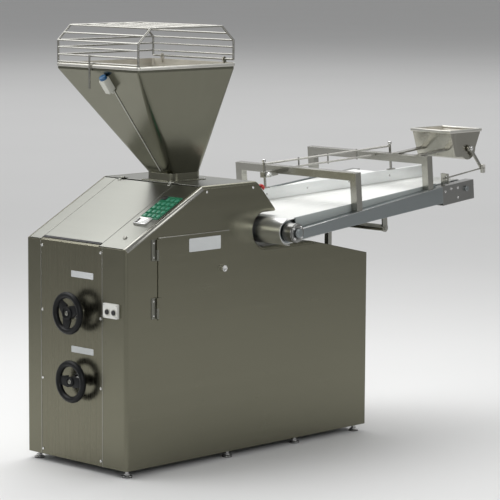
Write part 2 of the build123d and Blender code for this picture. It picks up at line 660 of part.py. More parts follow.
def controls():
    """Handwheels with their spindles, the push buttons and the emergency stop."""
    out = {}
    bore = SPINDLE_R + RUN
    out["upper_handwheel"] = handwheel(UPPER_Z, UPPER_OUT, 3, 40)
    out["lower_handwheel"] = handwheel(LOWER_Z, LOWER_OUT, 2, 0)
    out["weight_spindle"] = rod_x(WHEEL_Y, UPPER_Z, SPINDLE_R, -UPPER_OUT - 8, SPINDLE_END)
    out["valve_spindle"] = rod_x(WHEEL_Y, LOWER_Z, SPINDLE_R, -LOWER_OUT - 8, VALVE_X0 + 12)
    bushes = []
    for z in (UPPER_Z, LOWER_Z):
        bush = rod_x(WHEEL_Y, z, BUSH_R, -6, 0) + rod_x(WHEEL_Y, z, BUSH_R - 11, -14, -6)
        bushes.append(bush - rod_x(WHEEL_Y, z, bore, -15, 1))
    rear = rod_x(WHEEL_Y, UPPER_Z, BUSH_R - 12, SPINDLE_BAR_X - 16, SPINDLE_BAR_X)
    bushes.append(rear - rod_x(WHEEL_Y, UPPER_Z, bore, SPINDLE_BAR_X - 17, SPINDLE_BAR_X + 1))
    out["spindle_bearings"] = Compound(children=bushes)

    x0, x1, half = WEIGHT_ARM_X, WEIGHT_ARM_X + ARM_DEPTH, ARM_WIDTH / 2
    arm = block(x0, x1, WHEEL_Y - half, WHEEL_Y + half, UPPER_Z - half, UPPER_Z + half)
    arm += block(x0, x1, WHEEL_Y - ARM_DEPTH, WHEEL_Y + ARM_DEPTH, UPPER_Z, RAM_Z0 - 7)
    out["weight_stop_arm"] = arm - rod_x(WHEEL_Y, UPPER_Z, bore, x0 - 1, x1 + 1)

    z0 = FOOT + BOX_BOTTOM
    mid = z0 + BOX_HEIGHT / 2 - BUTTON_DROP
    case = block(-BOX_DEPTH, 0, BOX_Y0, BOX_Y0 + BOX_WIDTH, z0, z0 + BOX_HEIGHT)
    case = fillet(case.edges().filter_by(Axis.X), 5)
    near, far = BOX_Y0 + BUTTON_NEAR, BOX_Y0 + BOX_WIDTH - BUTTON_FAR
    for name, y in (("stop_button", near), ("start_button", far)):
        case -= rod_x(y, mid, BUTTON_R + FREE, -BOX_DEPTH - 1, -WELL_FLOOR)
        out[name] = rod_x(y, mid, BUTTON_R, -BOX_DEPTH - 6, -WELL_FLOOR - 1 - BUTTON_STROKE)

    nx, nz = hood_normal()
    spot = (TOP_REAR + STOP_SHARE * HOOD_RUN, STOP_SIDE, TOP - STOP_SHARE * HOOD_DROP)
    face = Plane(origin=spot, x_dir=(0, 1, 0), z_dir=(nx, 0, nz)) * Pos(0, 0, -COVER_DROP)
    well = Pos(0, 0, 3) * Cylinder(BUTTON_R + FREE, 20, align=UP)
    base = face * (Cylinder(STOP_BASE_R, 14, align=UP) - well)
    out["button_housings"] = Compound(children=[case, base])
    stem = Pos(0, 0, 4 + BUTTON_STROKE) * Cylinder(BUTTON_R, 14, align=UP)
    head = Pos(0, 0, 16 + BUTTON_STROKE) * Cylinder(STOP_HEAD_R, 12, align=UP)
    out["emergency_stop"] = face * (stem + head)
    return out


def hopper():
    """Dough hopper, its neck, the hinged wire guard and the guard switch."""
    out = {}
    hinge_x, hinge_z = RIM_X1 - WIRE_R, RIM_Z + GUARD_HINGE_RISE
    band0 = RIM_Z - RIM_BAND
    solids = []
    for skin in (0.0, SHEET):
        low = RectangleRounded(NECK_LENGTH - 2 * skin, NECK_WIDTH - 2 * skin, NECK_CORNER - skin)
        high = RectangleRounded(RIM_X1 - RIM_X0 - 2 * skin, RIM_WIDTH - 2 * skin, RIM_CORNER - skin)
        low = Pos((NECK_X0 + NECK_X1) / 2, GEAR_Y, NECK_TOP) * low
        high = Pos((RIM_X0 + RIM_X1) / 2, (RIM_Y0 + RIM_Y1) / 2, band0) * high
        solids.append(loft([low, high]) + extrude(high, amount=RIM_BAND, dir=(0, 0, 1)))
    shell = solids[0] - solids[1]
    lug_r = WIRE_R + LUG_T
    for inset in GUARD_LUG_Y:
        y = RIM_Y0 + inset
        lug = block(hinge_x - 6, hinge_x + lug_r, y, y + LUG_T, RIM_Z - 14, hinge_z)
        lug += rod_y(hinge_x, hinge_z, lug_r, y, y + LUG_T)
        shell += lug - rod_y(hinge_x, hinge_z, WIRE_R + RUN, y - 1, y + LUG_T + 1)
    out["hopper"] = shell

    base = TOP - COVER_DROP
    tubes = []
    for grow, low, high in ((1, BLOCK_Z1, NECK_TOP), (-NECK_WALL, BLOCK_Z1 - 1, NECK_TOP + 1)):
        section = RectangleRounded(NECK_LENGTH + 2 * grow, NECK_WIDTH + 2 * grow, NECK_CORNER + grow)
        section = Pos((NECK_X0 + NECK_X1) / 2, GEAR_Y, low) * section
        tubes.append(extrude(section, amount=high - low, dir=(0, 0, 1)))
    flange = block(NECK_X0 - NECK_FLANGE, NECK_X1 + NECK_FLANGE,
                   NECK_Y0 - NECK_FLANGE, NECK_Y1 + NECK_FLANGE, base, base + NECK_FLANGE_T)
    out["hopper_neck"] = tubes[0] + flange - tubes[1]

    out["hopper_guard"] = hopper_guard(hinge_x, hinge_z)

    fall = Vector(RIM_FORWARD, 0, NECK_TOP - band0).normalized()
    side = (RIM_Y0 + RIM_Y1) / 2 - 33
    face = Plane(origin=(RIM_X0, side, band0), x_dir=fall, z_dir=(fall.Z, 0, -fall.X))
    seat = (Align.MIN, Align.CENTER, Align.MIN)
    case = Pos(24, 0, 0) * Box(SWITCH_LENGTH, SWITCH_WIDTH, SWITCH_HEIGHT, align=seat)
    case = fillet(case.edges().filter_by(Axis.Z), 4)
    cap = Pos(12, 0, SWITCH_HEIGHT / 2) * Rot(0, 90, 0) * Cylinder(SWITCH_CAP_R, 12, align=UP)
    out["safety_switch"] = face.location * (case + cap)
    return out


def hopper_guard(hinge_x, hinge_z):
    """Cage of bent wire over the hopper's mouth, with the rod that works the switch."""
    front, rear = RIM_X0 + WIRE_R, hinge_x
    rest, bend_z, top = RIM_Z + FREE, RIM_Z + GUARD_BEND, RIM_Z + GUARD_RISE
    shoulder = GUARD_SHOULDER
    bend = [(front, rest), (front, bend_z), (front + shoulder, top),
            (rear - shoulder, top), (rear, bend_z), (rear, hinge_z)]
    ya, yb = RIM_Y0 + GUARD_INSET, RIM_Y1 - GUARD_INSET
    guard = rod_y(rear, hinge_z, WIRE_R, ya, yb)
    for y in (ya, yb):
        for (x0, z0), (x1, z1) in zip(bend, bend[1:]):
            guard += rod((x0, y, z0), (x1, y, z1), WIRE_R)
        for x, z in bend[1:]:
            guard += Pos(x, y, z) * Sphere(WIRE_R)
    pitch = (rear - front - 2 * shoulder) / 4
    climb = (top - bend_z) / 2
    bars = [(front, RIM_Z + z) for z in (FREE + WIRE_R, *GUARD_ROWS)]
    bars += [(front + i * shoulder / 2, bend_z + i * climb) for i in range(2)]
    bars += [(front + shoulder + i * pitch, top) for i in range(5)]
    bars += [(rear - i * shoulder / 2, bend_z + i * climb) for i in range(2)]
    bars += [(rear, RIM_Z + z) for z in GUARD_ROWS]
    for x, z in bars:
        guard += rod_y(x, z, BAR_R, ya, yb)
    for z in (*GUARD_ROWS, GUARD_BEND):
        guard += rod_x(yb, RIM_Z + z, BAR_R, front, rear)
    side, arm_z = (RIM_Y0 + RIM_Y1) / 2 + 31, RIM_Z + GUARD_ROWS[0]
    guard += rod_x(side, arm_z, BAR_R, front - 12, front)
    guard += rod_z(front - 12, side, BAR_R, RIM_Z - 88, arm_z + BAR_R)
    return guard


def belt_sketch(skin):
    """Closed loop round both rollers, in u and w, grown outwards by a skin."""
    r1, r2 = TAIL_R + skin, HEAD_R + skin
    line = math.atan2(HEAD_W, HEAD_U)
    lean = math.acos((r1 - r2) / math.hypot(HEAD_U, HEAD_W))

    def at(centre, r, angle):
        return centre[0] + r * math.cos(angle), centre[1] + r * math.sin(angle)

    tail, head = (0, 0), (HEAD_U, HEAD_W)
    up, down = line + lean, line - lean
    top1, top2 = at(tail, r1, up), at(head, r2, up)
    low1, low2 = at(tail, r1, down), at(head, r2, down)
    edges = Line(top1, top2) + ThreePointArc(top2, at(head, r2, line), low2)
    edges += Line(low2, low1) + ThreePointArc(low1, at(tail, r1, line + math.pi), top1)
    return make_face(edges)


def conveyor():
    """Rails, bed, belt, rollers, bearings, nose guard and supports."""
    out = {}
    start, out0, out1 = RAIL_START, RAIL_NEAR - 50, RAIL_FAR + 50
    beam = [(start, RAIL_BOTTOM), (RAIL_END, RAIL_BOTTOM),
            (RAIL_END, ledge(RAIL_END)), (start, ledge(start))]
    near = slab(beam, RAIL_NEAR, NEAR_IN)
    near += block(start, RAIL_END, NEAR_IN - WALL, NEAR_IN, RAIL_BOTTOM, WALL_TOP)
    far = slab(beam, FAR_IN, RAIL_FAR)
    far += block(start, RAIL_END, FAR_IN, FAR_IN + WALL, RAIL_BOTTOM, WALL_TOP)
    reach = rod_y(0, 0, HOUSING_R, out0, out1)
    out["near_rail"] = on_belt(near - reach)
    out["far_rail"] = on_belt(far - reach)

    tail_hole = rod_y(0, 0, TAIL_SHAFT_R + RUN, out0, out1)
    head_hole = rod_y(HEAD_U, HEAD_W, HEAD_SHAFT_R + RUN, out0, out1)
    lap, head_low = 2.0, HEAD_TOP - HEAD_BLOCK_HEIGHT
    bearings = []
    for y0, y1 in ((RAIL_NEAR + lap, NEAR_IN + lap), (FAR_IN - lap, RAIL_FAR - lap)):
        bearings.append(on_belt(rod_y(0, 0, HOUSING_R, y0, y1) - tail_hole))
    for y0, y1 in ((RAIL_NEAR, NEAR_IN), (FAR_IN, RAIL_FAR)):
        bearings.append(on_belt(block(RAIL_END, CONV_END, y0, y1, head_low, HEAD_TOP) - head_hole))
    out["roller_bearings"] = Compound(children=bearings)

    belt0, belt1 = NEAR_IN + BELT_GAP, FAR_IN - BELT_GAP
    out["conveyor_belt"] = on_belt(prism(belt_sketch(BELT) - belt_sketch(0), belt0, belt1))
    bed_top = TAIL_R - FREE
    bed = block(TAIL_R + 10, HEAD_U - HEAD_R - 10, NEAR_IN, FAR_IN, bed_top - BED_T, bed_top)
    out["belt_bed"] = on_belt(bed)

    tail = rod_y(0, 0, TAIL_R - RUN, belt0, belt1)
    tail += rod_y(0, 0, TAIL_SHAFT_R, RAIL_NEAR - 14, RAIL_FAR + 8)
    tail += rod_y(0, 0, COLLAR_R, RAIL_NEAR - 12, RAIL_NEAR + lap - FREE)
    out["tail_roller"] = on_belt(tail)
    head = rod_y(HEAD_U, HEAD_W, HEAD_R - RUN, belt0, belt1)
    head += rod_y(HEAD_U, HEAD_W, HEAD_SHAFT_R, RAIL_NEAR - 8, RAIL_FAR + 8)
    out["head_roller"] = on_belt(head)

    nose = Circle(GUARD_R) - Circle(GUARD_R - SHEET)
    nose -= Pos(GUARD_R, 0) * Rectangle(2 * GUARD_R, 3 * GUARD_R)
    shell = on_belt(prism(nose, NEAR_IN + lap, FAR_IN - lap))
    bracket_z = BLOCK_Z0 - TUBE + 1
    inside = rod_y(TAIL_X, TAIL_Z, GUARD_R - SHEET / 2, NEAR_IN, FAR_IN)
    for y in (GEAR_Y - 160, GEAR_Y + 80):
        shell += block(BEAM_END, TAIL_X - 10, y, y + 36, bracket_z, bracket_z + 8) - inside
    out["nose_guard"] = shell
    out["conveyor_support"] = conveyor_support()
    return out


def conveyor_support():
    """Cross tube on two posts under the rails, and the eye that guides the duster's link."""
    plate = 6.0
    tube = rod_y(CROSS_U, CROSS_W, CROSS_R, RAIL_NEAR + 12, RAIL_FAR - 12)
    for y in (RAIL_NEAR + 10, RAIL_FAR - 10 - plate):
        hanger = block(CROSS_U - CROSS_R, CROSS_U + CROSS_R, y, y + plate, CROSS_W, RAIL_BOTTOM)
        tube += hanger + rod_y(CROSS_U, CROSS_W, CROSS_R + 2, y, y + plate)
    tube += rod_y(CROSS_U, CROSS_W, 8, RAIL_NEAR + 4, RAIL_NEAR + 12)
    support = on_belt(tube)
    mid_x = TAIL_X + CROSS_U * BELT_COS - CROSS_W * BELT_SIN
    mid_z = TAIL_Z + CROSS_U * BELT_SIN + CROSS_W * BELT_COS
    x0, x1 = mid_x - POST_W / 2, mid_x + POST_W / 2
    for y in POST_Y:
        support += slab([(x0, deck_z(x0)), (x1, deck_z(x1)), (x1, mid_z), (x0, mid_z)], y, y + POST_W)
    side = RAIL_NEAR + 18
    stand = block(LINK_U - 7, LINK_U + 3, RAIL_NEAR + 6, side, HEAD_TOP, LINK_W + 17)
    stand += block(LINK_U - 7, LINK_U - 1, LINK_Y - 10, side, LINK_W - 23, LINK_W + 17)
    eye = Pos(LINK_END_X, LINK_Y, LINK_END_Z) * Box(EYE_CUT, 2 * LINK_R + 3, 2 * LINK_R + 8)
    return Compound(children=[support, on_belt(stand) - eye])


def guide():
    """Two bridges over the belt, and the rounding board on its clamped ladder of rods."""
    out = {}
    y0, y1 = RAIL_NEAR + BRIDGE_INSET, RAIL_FAR - BRIDGE_INSET
    for name, u in (("tail_bridge", TAIL_BRIDGE_U), ("head_bridge", HEAD_BRIDGE_U)):
        post = [(u, ledge(u)), (u + TUBE, ledge(u + TUBE)), (u + TUBE, BRIDGE_TOP), (u, BRIDGE_TOP)]
        bridge = slab(post, y0, y0 + TUBE) + slab(post, y1 - TUBE, y1)
        out[name] = bridge + block(u, u + TUBE, y0, y1, BRIDGE_UNDER, BRIDGE_TOP)
    arm_w = 30.0
    for y in (DUST_Y0 + 24, DUST_Y1 - 24 - arm_w):
        arm = block(HEAD_BRIDGE_U, HEAD_U + 10, y, y + arm_w, BRIDGE_TOP, BRIDGE_TOP + ARM_T)
        out["head_bridge"] += arm
    out = {name: on_belt(bridge) for name, bridge in out.items()}
    out["head_bridge"] -= duster_outer()
    out["head_bridge"] -= block(DUST_X, DUST_X + HEAD_U, DUST_Y0, DUST_Y1,
                                DUST_Z - DUST_R, DUST_Z + DUST_RISE)

    half = CLAMP_WIDTH / 2
    clamps = []
    spans = (("tail_clamp_knob", ROD1, ROD1[0] - half, TAIL_BRIDGE_U),
             ("head_clamp_knob", ROD2, HEAD_BRIDGE_U + TUBE, ROD2[0] + half))
    for name, (u, y), u0, u1 in spans:
        clamp = block(u0, u1, y - half, y + half, CLAMP_BOTTOM, CLAMP_TOP)
        clamp -= rod_z(u, y, END_ROD_R + RUN, CLAMP_BOTTOM - 1, CLAMP_TOP + 1)
        clamp -= rod_y(u, CLAMP_MID, CLAMP_PIN_R + RUN, y - half - 1, y - END_ROD_R)
        clamps.append(on_belt(clamp))
        knob = rod_y(u, CLAMP_MID, CLAMP_KNOB_R, y - half - 20, y - half - 4)
        knob += rod_y(u, CLAMP_MID, CLAMP_PIN_R, y - half - 4, y - END_ROD_R - CLAMP_SLACK)
        out[name] = on_belt(knob)
    out["guide_clamps"] = Compound(children=clamps)

    du, dy = ROD2[0] - ROD1[0], ROD2[1] - ROD1[1]
    span = math.hypot(du, dy)
    turn = math.degrees(math.atan2(dy, du))
    def along(part):
        """Point between the two end rods."""
        return ROD1[0] + part * du, ROD1[1] + part * dy

    ladder = rod((*ROD1, LADDER_UPPER), (*ROD2, LADDER_UPPER), LADDER_R)
    low0, low1 = (along(part) for part in LOWER_ROD)
    ladder += rod((*low0, LADDER_LOWER), (*low1, LADDER_LOWER), LADDER_R)
    for u, y in (ROD1, ROD2):
        ladder += rod_z(u, y, END_ROD_R, BOARD_TOP, LADDER_UPPER + 16)
        foot = Box(ROD_FOOT, BOARD_T, ROD_FOOT_T, align=UP)
        ladder += Location((u, y, BOARD_TOP), (0, 0, turn)) * foot
    for part in RUNGS:
        ladder += rod_z(*along(part), RUNG_R, LADDER_LOWER - RUNG_PAST, LADDER_UPPER + RUNG_PAST)
    out["guide_ladder"] = on_belt(ladder)
    board = block(-BOARD_TAIL, span + BOARD_HEAD, -BOARD_T / 2, BOARD_T / 2, BOARD_BOTTOM, BOARD_TOP)
    out["guide_board"] = on_belt(Location((*ROD1, 0), (0, 0, turn)) * board)
    return out


def duster_sketch(skin):
    """Section of the flour box with its round trough and the flat floor before it."""
    rise = DUST_RISE + 1 if skin else DUST_RISE
    lean = 1.25 * skin
    r, drop = DUST_R - skin, DUST_DROP - skin
    rim0, rim1 = (DUST_X - DUST_FRONT + lean, DUST_Z + rise), (DUST_X + DUST_REAR - lean, DUST_Z + rise)
    low1, floor0 = (DUST_X + r, DUST_Z), (DUST_X - DUST_FLOOR + lean, DUST_Z - drop)
    floor1 = (DUST_X - math.sqrt(r * r - drop * drop), DUST_Z - drop)
    edges = Line(rim0, rim1) + Line(rim1, low1) + ThreePointArc(low1, (DUST_X, DUST_Z - r), floor1)
    return make_face(edges + Line(floor1, floor0) + Line(floor0, rim0))


def duster_outer():
    """Outer body of the flour box."""
    return prism(duster_sketch(0), DUST_Y0, DUST_Y1)


def duster():
    """Flour box with its brush roller, lever and link."""
    out = {}
    body = duster_outer() - prism(duster_sketch(SHEET), DUST_Y0 + SHEET, DUST_Y1 - SHEET)
    body -= rod_y(DUST_X, DUST_Z, BRUSH_SHAFT_R + RUN, DUST_Y0 - 1, DUST_Y1 + 1)
    slot_y0, slot_y1 = DUST_Y0 + 12, DUST_Y1 - 12
    body -= block(DUST_X - 6, DUST_X + 6, slot_y0, slot_y1, DUST_Z - DUST_R - 1, DUST_Z - DUST_R / 2)
    out["flour_box"] = body
    brush_r = DUST_R - SHEET - BRUSH_GAP
    brush = rod_y(DUST_X, DUST_Z, brush_r, DUST_Y0 + SHEET + 1, DUST_Y1 - SHEET - 1)
    out["brush_roller"] = brush + rod_y(DUST_X, DUST_Z, BRUSH_SHAFT_R, LEVER_Y, DUST_Y1 + 8)

    end_x, end_z = DUST_X + LEVER_DX, DUST_Z + LEVER_DZ
    turn = math.degrees(math.atan2(-LEVER_DZ, LEVER_DX))
    arm = block(0, math.hypot(LEVER_DX, LEVER_DZ), 0, LEVER_T, -6, 6)
    lever = Location((DUST_X, LEVER_Y, DUST_Z), (0, turn, 0)) * arm
    lever += rod_y(DUST_X, DUST_Z, 13, LEVER_Y, LEVER_Y + LEVER_T + 2)
    lever += rod_y(end_x, end_z, 9, LEVER_Y, LEVER_Y + LEVER_T)
    lever -= rod_y(DUST_X, DUST_Z, BRUSH_SHAFT_R, LEVER_Y - 1, DUST_Y0)
    out["duster_lever"] = lever + rod_y(end_x, end_z, LEVER_PIN_R, LEVER_Y - 12, LEVER_Y)

    past = 1.12
    tip = (end_x + past * (LINK_END_X - end_x), LINK_Y, end_z + past * (LINK_END_Z - end_z))
    link = rod_y(end_x, end_z, LINK_BOSS_R, LINK_Y - LINK_R, LINK_Y + LINK_R)
    link += rod((end_x, LINK_Y, end_z), tip, LINK_R)
    out["duster_link"] = link - rod_y(end_x, end_z, LEVER_PIN_R + RUN, LINK_Y - 20, LEVER_Y)
    return out


def dividing_gear():
    """Dough chamber, ram, knife, dividing drum and measuring piston."""
    out = {}
    knife_x0, knife_x1, knife_top = NECK_X0 + 2, NECK_X1 - 2, KNIFE_Z + KNIFE_T
    arm_low, arm_t = KNIFE_Z - 6, 10.0
    arm_reach = KNIFE_END_Y - KNIFE_STROKE - arm_t - FREE
    body = block(BLOCK_X0, BLOCK_X1, BLOCK_Y0, BLOCK_Y1, BLOCK_Z0, BLOCK_Z1)
    body -= rod_y(DRUM_X, DRUM_Z, DRUM_R + FREE, BLOCK_Y0 - 1, BLOCK_Y1 + 1)
    body -= block(BLOCK_X0 - 1, DRUM_X, NECK_Y0 - SLIDE, NECK_Y1 + SLIDE, RAM_Z0 - SLIDE, RAM_Z1 + SLIDE)
    body -= block(NECK_X0 + 6, NECK_X1 - 6, NECK_Y0 + NECK_WALL, NECK_Y1 - NECK_WALL,
                  RAM_Z1 - 1, BLOCK_Z1 + 1)
    body -= block(knife_x0 - SLIDE, knife_x1 + SLIDE, NECK_Y0 - 4, BLOCK_Y1 + 1,
                  KNIFE_Z - SLIDE, knife_top + SLIDE)
    body -= block(BLOCK_X0 - 1, knife_x0 + FREE, arm_reach, BLOCK_Y1 + 1, arm_low - FREE, knife_top + FREE)
    out["dough_chamber"] = body

    ram = block(RAM_BACK, RAM_FACE, NECK_Y0, NECK_Y1, RAM_Z0, RAM_Z1)
    ram += block(YOKE_X0, RAM_BACK, GEAR_Y - 30, GEAR_Y + 30, RAM_Z0, YOKE_Z1)
    ram += block(YOKE_X0, YOKE_X1, CYL_Y[0] - 14, CYL_Y[1] + 14, RAM_Z0, YOKE_Z1)
    ram += block(YOKE_X0, YOKE_X1, WHEEL_Y - 22, WHEEL_Y + 22, RAM_Z0 - 20, RAM_Z0)
    tubes = []
    head0 = CYL_X0 + CYL_END + 9
    for y, wall in zip(CYL_Y, (BLOCK_Y0, BLOCK_Y1)):
        ram += rod_x(y, CYL_Z, CYL_ROD_R, YOKE_X0, head0)
        ram += rod_x(y, CYL_Z, CYL_BORE_R - RUN, head0, head0 + 20)
        tube = rod_x(y, CYL_Z, CYL_R, CYL_X0, CYL_X1)
        tube += block(CYL_X0 + 35, CYL_X0 + 85, min(y, wall), max(y, wall), CYL_Z - 15, CYL_Z + 15)
        tube -= rod_x(y, CYL_Z, CYL_BORE_R, CYL_X0 + CYL_END, CYL_X1 - CYL_END)
        tubes.append(tube - rod_x(y, CYL_Z, CYL_ROD_R + RUN, CYL_X0 - 1, CYL_X0 + CYL_END + 1))
    out["ram"] = ram

    x, rod_r, bore, end = KNIFE_ROD_X, 4.0, KNIFE_CYL_R - 3, 6.0
    cyl1 = arm_reach - 4
    cyl0 = cyl1 - KNIFE_STROKE - 2 * end - 16
    head = cyl1 - end - 14
    knife = block(knife_x0, knife_x1, KNIFE_OPEN_Y, KNIFE_END_Y, KNIFE_Z, knife_top)
    knife += block(x - 8, knife_x0, KNIFE_END_Y - arm_t, KNIFE_END_Y, arm_low, knife_top)
    knife += rod_y(x, KNIFE_Z, rod_r, head, KNIFE_END_Y - arm_t)
    knife += rod_y(x, KNIFE_Z, bore - RUN, head, head + 12)
    out["knife"] = knife
    tube = rod_y(x, KNIFE_Z, KNIFE_CYL_R, cyl0, cyl1)
    tube += block(x, BLOCK_X0, BLOCK_Y0 + 40, arm_reach - 20, KNIFE_Z - 4, KNIFE_Z + 4)
    tube -= rod_y(x, KNIFE_Z, bore, cyl0 + end, cyl1 - end)
    tubes.append(tube - rod_y(x, KNIFE_Z, rod_r + RUN, cyl1 - end - 1, cyl1 + 1))
    out["actuator_cylinders"] = Compound(children=tubes)

    pocket = DRUM_X + POCKET_DEPTH
    drum = rod_y(DRUM_X, DRUM_Z, DRUM_R, NECK_Y0 - 5, NECK_Y1 + 5)
    drum += rod_y(DRUM_X, DRUM_Z, DRUM_SHAFT_R, BLOCK_Y0 - 22, BLOCK_Y1 + DRUM_SHAFT_OUT)
    out["dividing_drum"] = drum - rod_x(GEAR_Y, DRUM_Z, POCKET_R, DRUM_X - DRUM_R - 1, pocket)
    out["measuring_piston"] = rod_x(GEAR_Y, DRUM_Z, POCKET_R - RUN, DRUM_X - PISTON_BACK, pocket - FREE)

    plates = []
    for y in (BLOCK_Y0, BLOCK_Y1 - 24):
        plate = block(BLOCK_X1, DRUM_X + DRUM_WALL, y, y + 24, BLOCK_Z0, DRUM_Z + 30)
        plates.append(plate - rod_y(DRUM_X, DRUM_Z, DRUM_SHAFT_R + RUN, y - 1, y + 25))
    out["drum_bearings"] = Compound(children=plates)
    return out


def drives():
    """Gearmotor of the drum, and the oil tank with its pump motor and valve block."""
    out = {}
    y0 = BLOCK_Y1 + GEARBOX_GAP
    y1 = y0 + GEARBOX_WIDTH
    axis = (y0 + y1) / 2
    case_x0, case_x1 = DRUM_X - GEARBOX_HALF, DRUM_X + GEARBOX_HALF
    motor_x0, shaft_end = case_x0 - MOTOR_LENGTH, BLOCK_Y1 + DRUM_SHAFT_OUT + FREE
    motor = block(case_x0, case_x1, y0, y1, BLOCK_Z0, DRUM_Z + GEARBOX_RISE)
    motor += rod_x(axis, DRUM_Z, MOTOR_R, motor_x0, case_x0)
    motor += rod_x(axis, DRUM_Z, MOTOR_CAP_R, motor_x0 - MOTOR_CAP, motor_x0)
    out["drum_gearmotor"] = motor - rod_y(DRUM_X, DRUM_Z, DRUM_SHAFT_R + RUN, y0 - 1, shaft_end)

    half = TANK_WIDTH / 2
    tank = block(TANK_X0, TANK_X0 + TANK_LENGTH, MID_Y - half, MID_Y + half, SILL_TOP, TANK_TOP)
    out["oil_tank"] = fillet(tank.edges().filter_by(Axis.Z), 12)
    y, z = MID_Y + PUMP_SIDE, TANK_TOP + PUMP_RISE
    x1 = TANK_X0 + TANK_LENGTH - 40
    x0 = x1 - PUMP_LENGTH
    pump = rod_x(y, z, PUMP_R, x0, x1) + rod_x(y, z, PUMP_R - 8, x1, x1 + 30)
    pump += block(x0 + 20, x1 - 20, y - 40, y + 40, TANK_TOP, z - 40) + rod_x(y, z, 40, x0 - 50, x0)
    out["pump_motor"] = pump
    valve = block(VALVE_X0, VALVE_X0 + VALVE_LENGTH, WHEEL_Y - 40, WHEEL_Y + 40, TANK_TOP, LOWER_Z + 40)
    valve -= rod_x(WHEEL_Y, LOWER_Z, SPINDLE_R + RUN, VALVE_X0 - 1, VALVE_X0 + 12 + FREE)
    out["valve_block"] = valve
    return out


def main():
    """Build every piece, move the origin to the bottom centre and write one file per node."""
    parts = {}
    for group in (cabinet, lid_and_door, controls, hopper, conveyor, guide, duster, dividing_gear, drives):
        parts.update(group())
    boxes = [part.bounding_box() for part in parts.values()]
    shift_x = -(min(b.min.X for b in boxes) + max(b.max.X for b in boxes)) / 2
    shift_y = -(min(b.min.Y for b in boxes) + max(b.max.Y for b in boxes)) / 2
    os.makedirs("parts", exist_ok=True)
    for name, part in parts.items():
        placed = Pos(shift_x, shift_y, 0) * part
        placed.label = name
        export_step(placed, f"parts/{name}.step")
    print(f"{len(parts)} nodes, shift {shift_x:.4f} {shift_y:.4f}")


if __name__ == "__main__":
    main()
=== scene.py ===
"""Looks of a dough divider rounder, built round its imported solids.

The row frame is in metres: X from the front panel to the conveyor's head, Y from the door side to the
far side, Z up from the floor. Pieces are modelled in millimetres, in a local frame whose Z points out
of the face that carries them, and are then placed in the row frame. Places on the machine are given in
millimetres from the point of the floor below the front panel's near edge.
"""

import json
import logging
import math
from dataclasses import dataclass
from enum import Enum
from typing import Any, Callable, Sequence

import bmesh
import bpy
from mathutils import Matrix, Vector


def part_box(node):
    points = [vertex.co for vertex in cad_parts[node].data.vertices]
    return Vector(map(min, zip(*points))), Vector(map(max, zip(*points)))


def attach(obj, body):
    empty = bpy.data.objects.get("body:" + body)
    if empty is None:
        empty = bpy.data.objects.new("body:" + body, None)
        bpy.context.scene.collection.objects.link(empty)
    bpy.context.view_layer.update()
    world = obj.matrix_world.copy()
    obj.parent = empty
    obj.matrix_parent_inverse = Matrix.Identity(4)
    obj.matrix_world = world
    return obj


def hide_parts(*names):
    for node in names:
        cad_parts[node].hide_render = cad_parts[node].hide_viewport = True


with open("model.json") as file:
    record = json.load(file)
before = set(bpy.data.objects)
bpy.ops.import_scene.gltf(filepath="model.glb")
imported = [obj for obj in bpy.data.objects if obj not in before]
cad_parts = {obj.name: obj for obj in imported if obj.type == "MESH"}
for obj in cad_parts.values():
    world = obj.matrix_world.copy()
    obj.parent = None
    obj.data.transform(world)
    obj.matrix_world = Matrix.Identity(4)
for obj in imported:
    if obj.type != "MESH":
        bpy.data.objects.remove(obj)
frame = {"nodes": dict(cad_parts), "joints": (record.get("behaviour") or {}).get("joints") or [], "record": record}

LOG = logging.getLogger("rounder")
MM = 0.001
QUARTER = math.radians(90)
SMOOTH_ANGLE = math.radians(35)
# Least share of a direction that counts as along an axis, and most that counts as across it.
FLAT = 0.9
LEVEL = 0.1
# Slack of a selection by height in millimetres, and share of a radius where the outer edge begins.
TOUCH = 0.01
OUTER = 0.95
# How far a piece reaches into the sheet that it lies on, in millimetres, and the draw of a flute.
SUNK = 0.2
FLUTE = (0.95, 0.95, 1.0)

Point = tuple[float, float, float]
Colour = tuple[float, float, float]
Test = Callable[[Vector, Vector], bool]

FRONT_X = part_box("front_panel")[0].x
NEAR_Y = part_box("near_side_panel")[0].y

OUT_FRONT: Point = (-1, 0, 0)
OUT_BACK: Point = (1, 0, 0)
OUT_NEAR: Point = (0, -1, 0)
OUT_FAR: Point = (0, 1, 0)
OUT_UP: Point = (0, 0, 1)
ALONG_Y: Point = (0, 1, 0)


class Slot(Enum):
    """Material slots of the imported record."""

    SHEET = "steel_sheet"
    BAR = "steel_bar"
    MACHINED = "machined_steel"
    ALLOY = "rail_alloy"
    BELT = "belt_fabric"
    WHITE = "white_plastic"
    BRUSH = "brush_fibre"
    BLACK = "black_plastic"
    RED = "red_plastic"
    BLUE = "blue_plastic"
    RUBBER = "foot_rubber"
    FRAME = "frame_paint"
    CASTING = "casting"
    MOTOR = "motor_paint"
    TANK = "tank_plastic"
    BRONZE = "bush_bronze"


class Kind(Enum):
    """What a selection in edit mode is made of."""

    FACE = "FACE"
    EDGE = "EDGE"


class Grain(Enum):
    """Stretch of the brushing marks, in marks per metre along each axis."""

    ALONG = (3.0, 900.0, 900.0)
    ACROSS = (900.0, 3.0, 900.0)
    UPRIGHT = (900.0, 900.0, 3.0)
    EVEN = (260.0, 260.0, 260.0)


def at(x: float, y: float, z: float) -> Vector:
    """Point of the row frame for a place on the machine.

    Args:
        x: Millimetres behind the front panel.
        y: Millimetres from the near side panel.
        z: Millimetres above the floor.

    Returns:
        The point in metres.
    """
    return Vector((FRONT_X + x * MM, NEAR_Y + y * MM, z * MM))


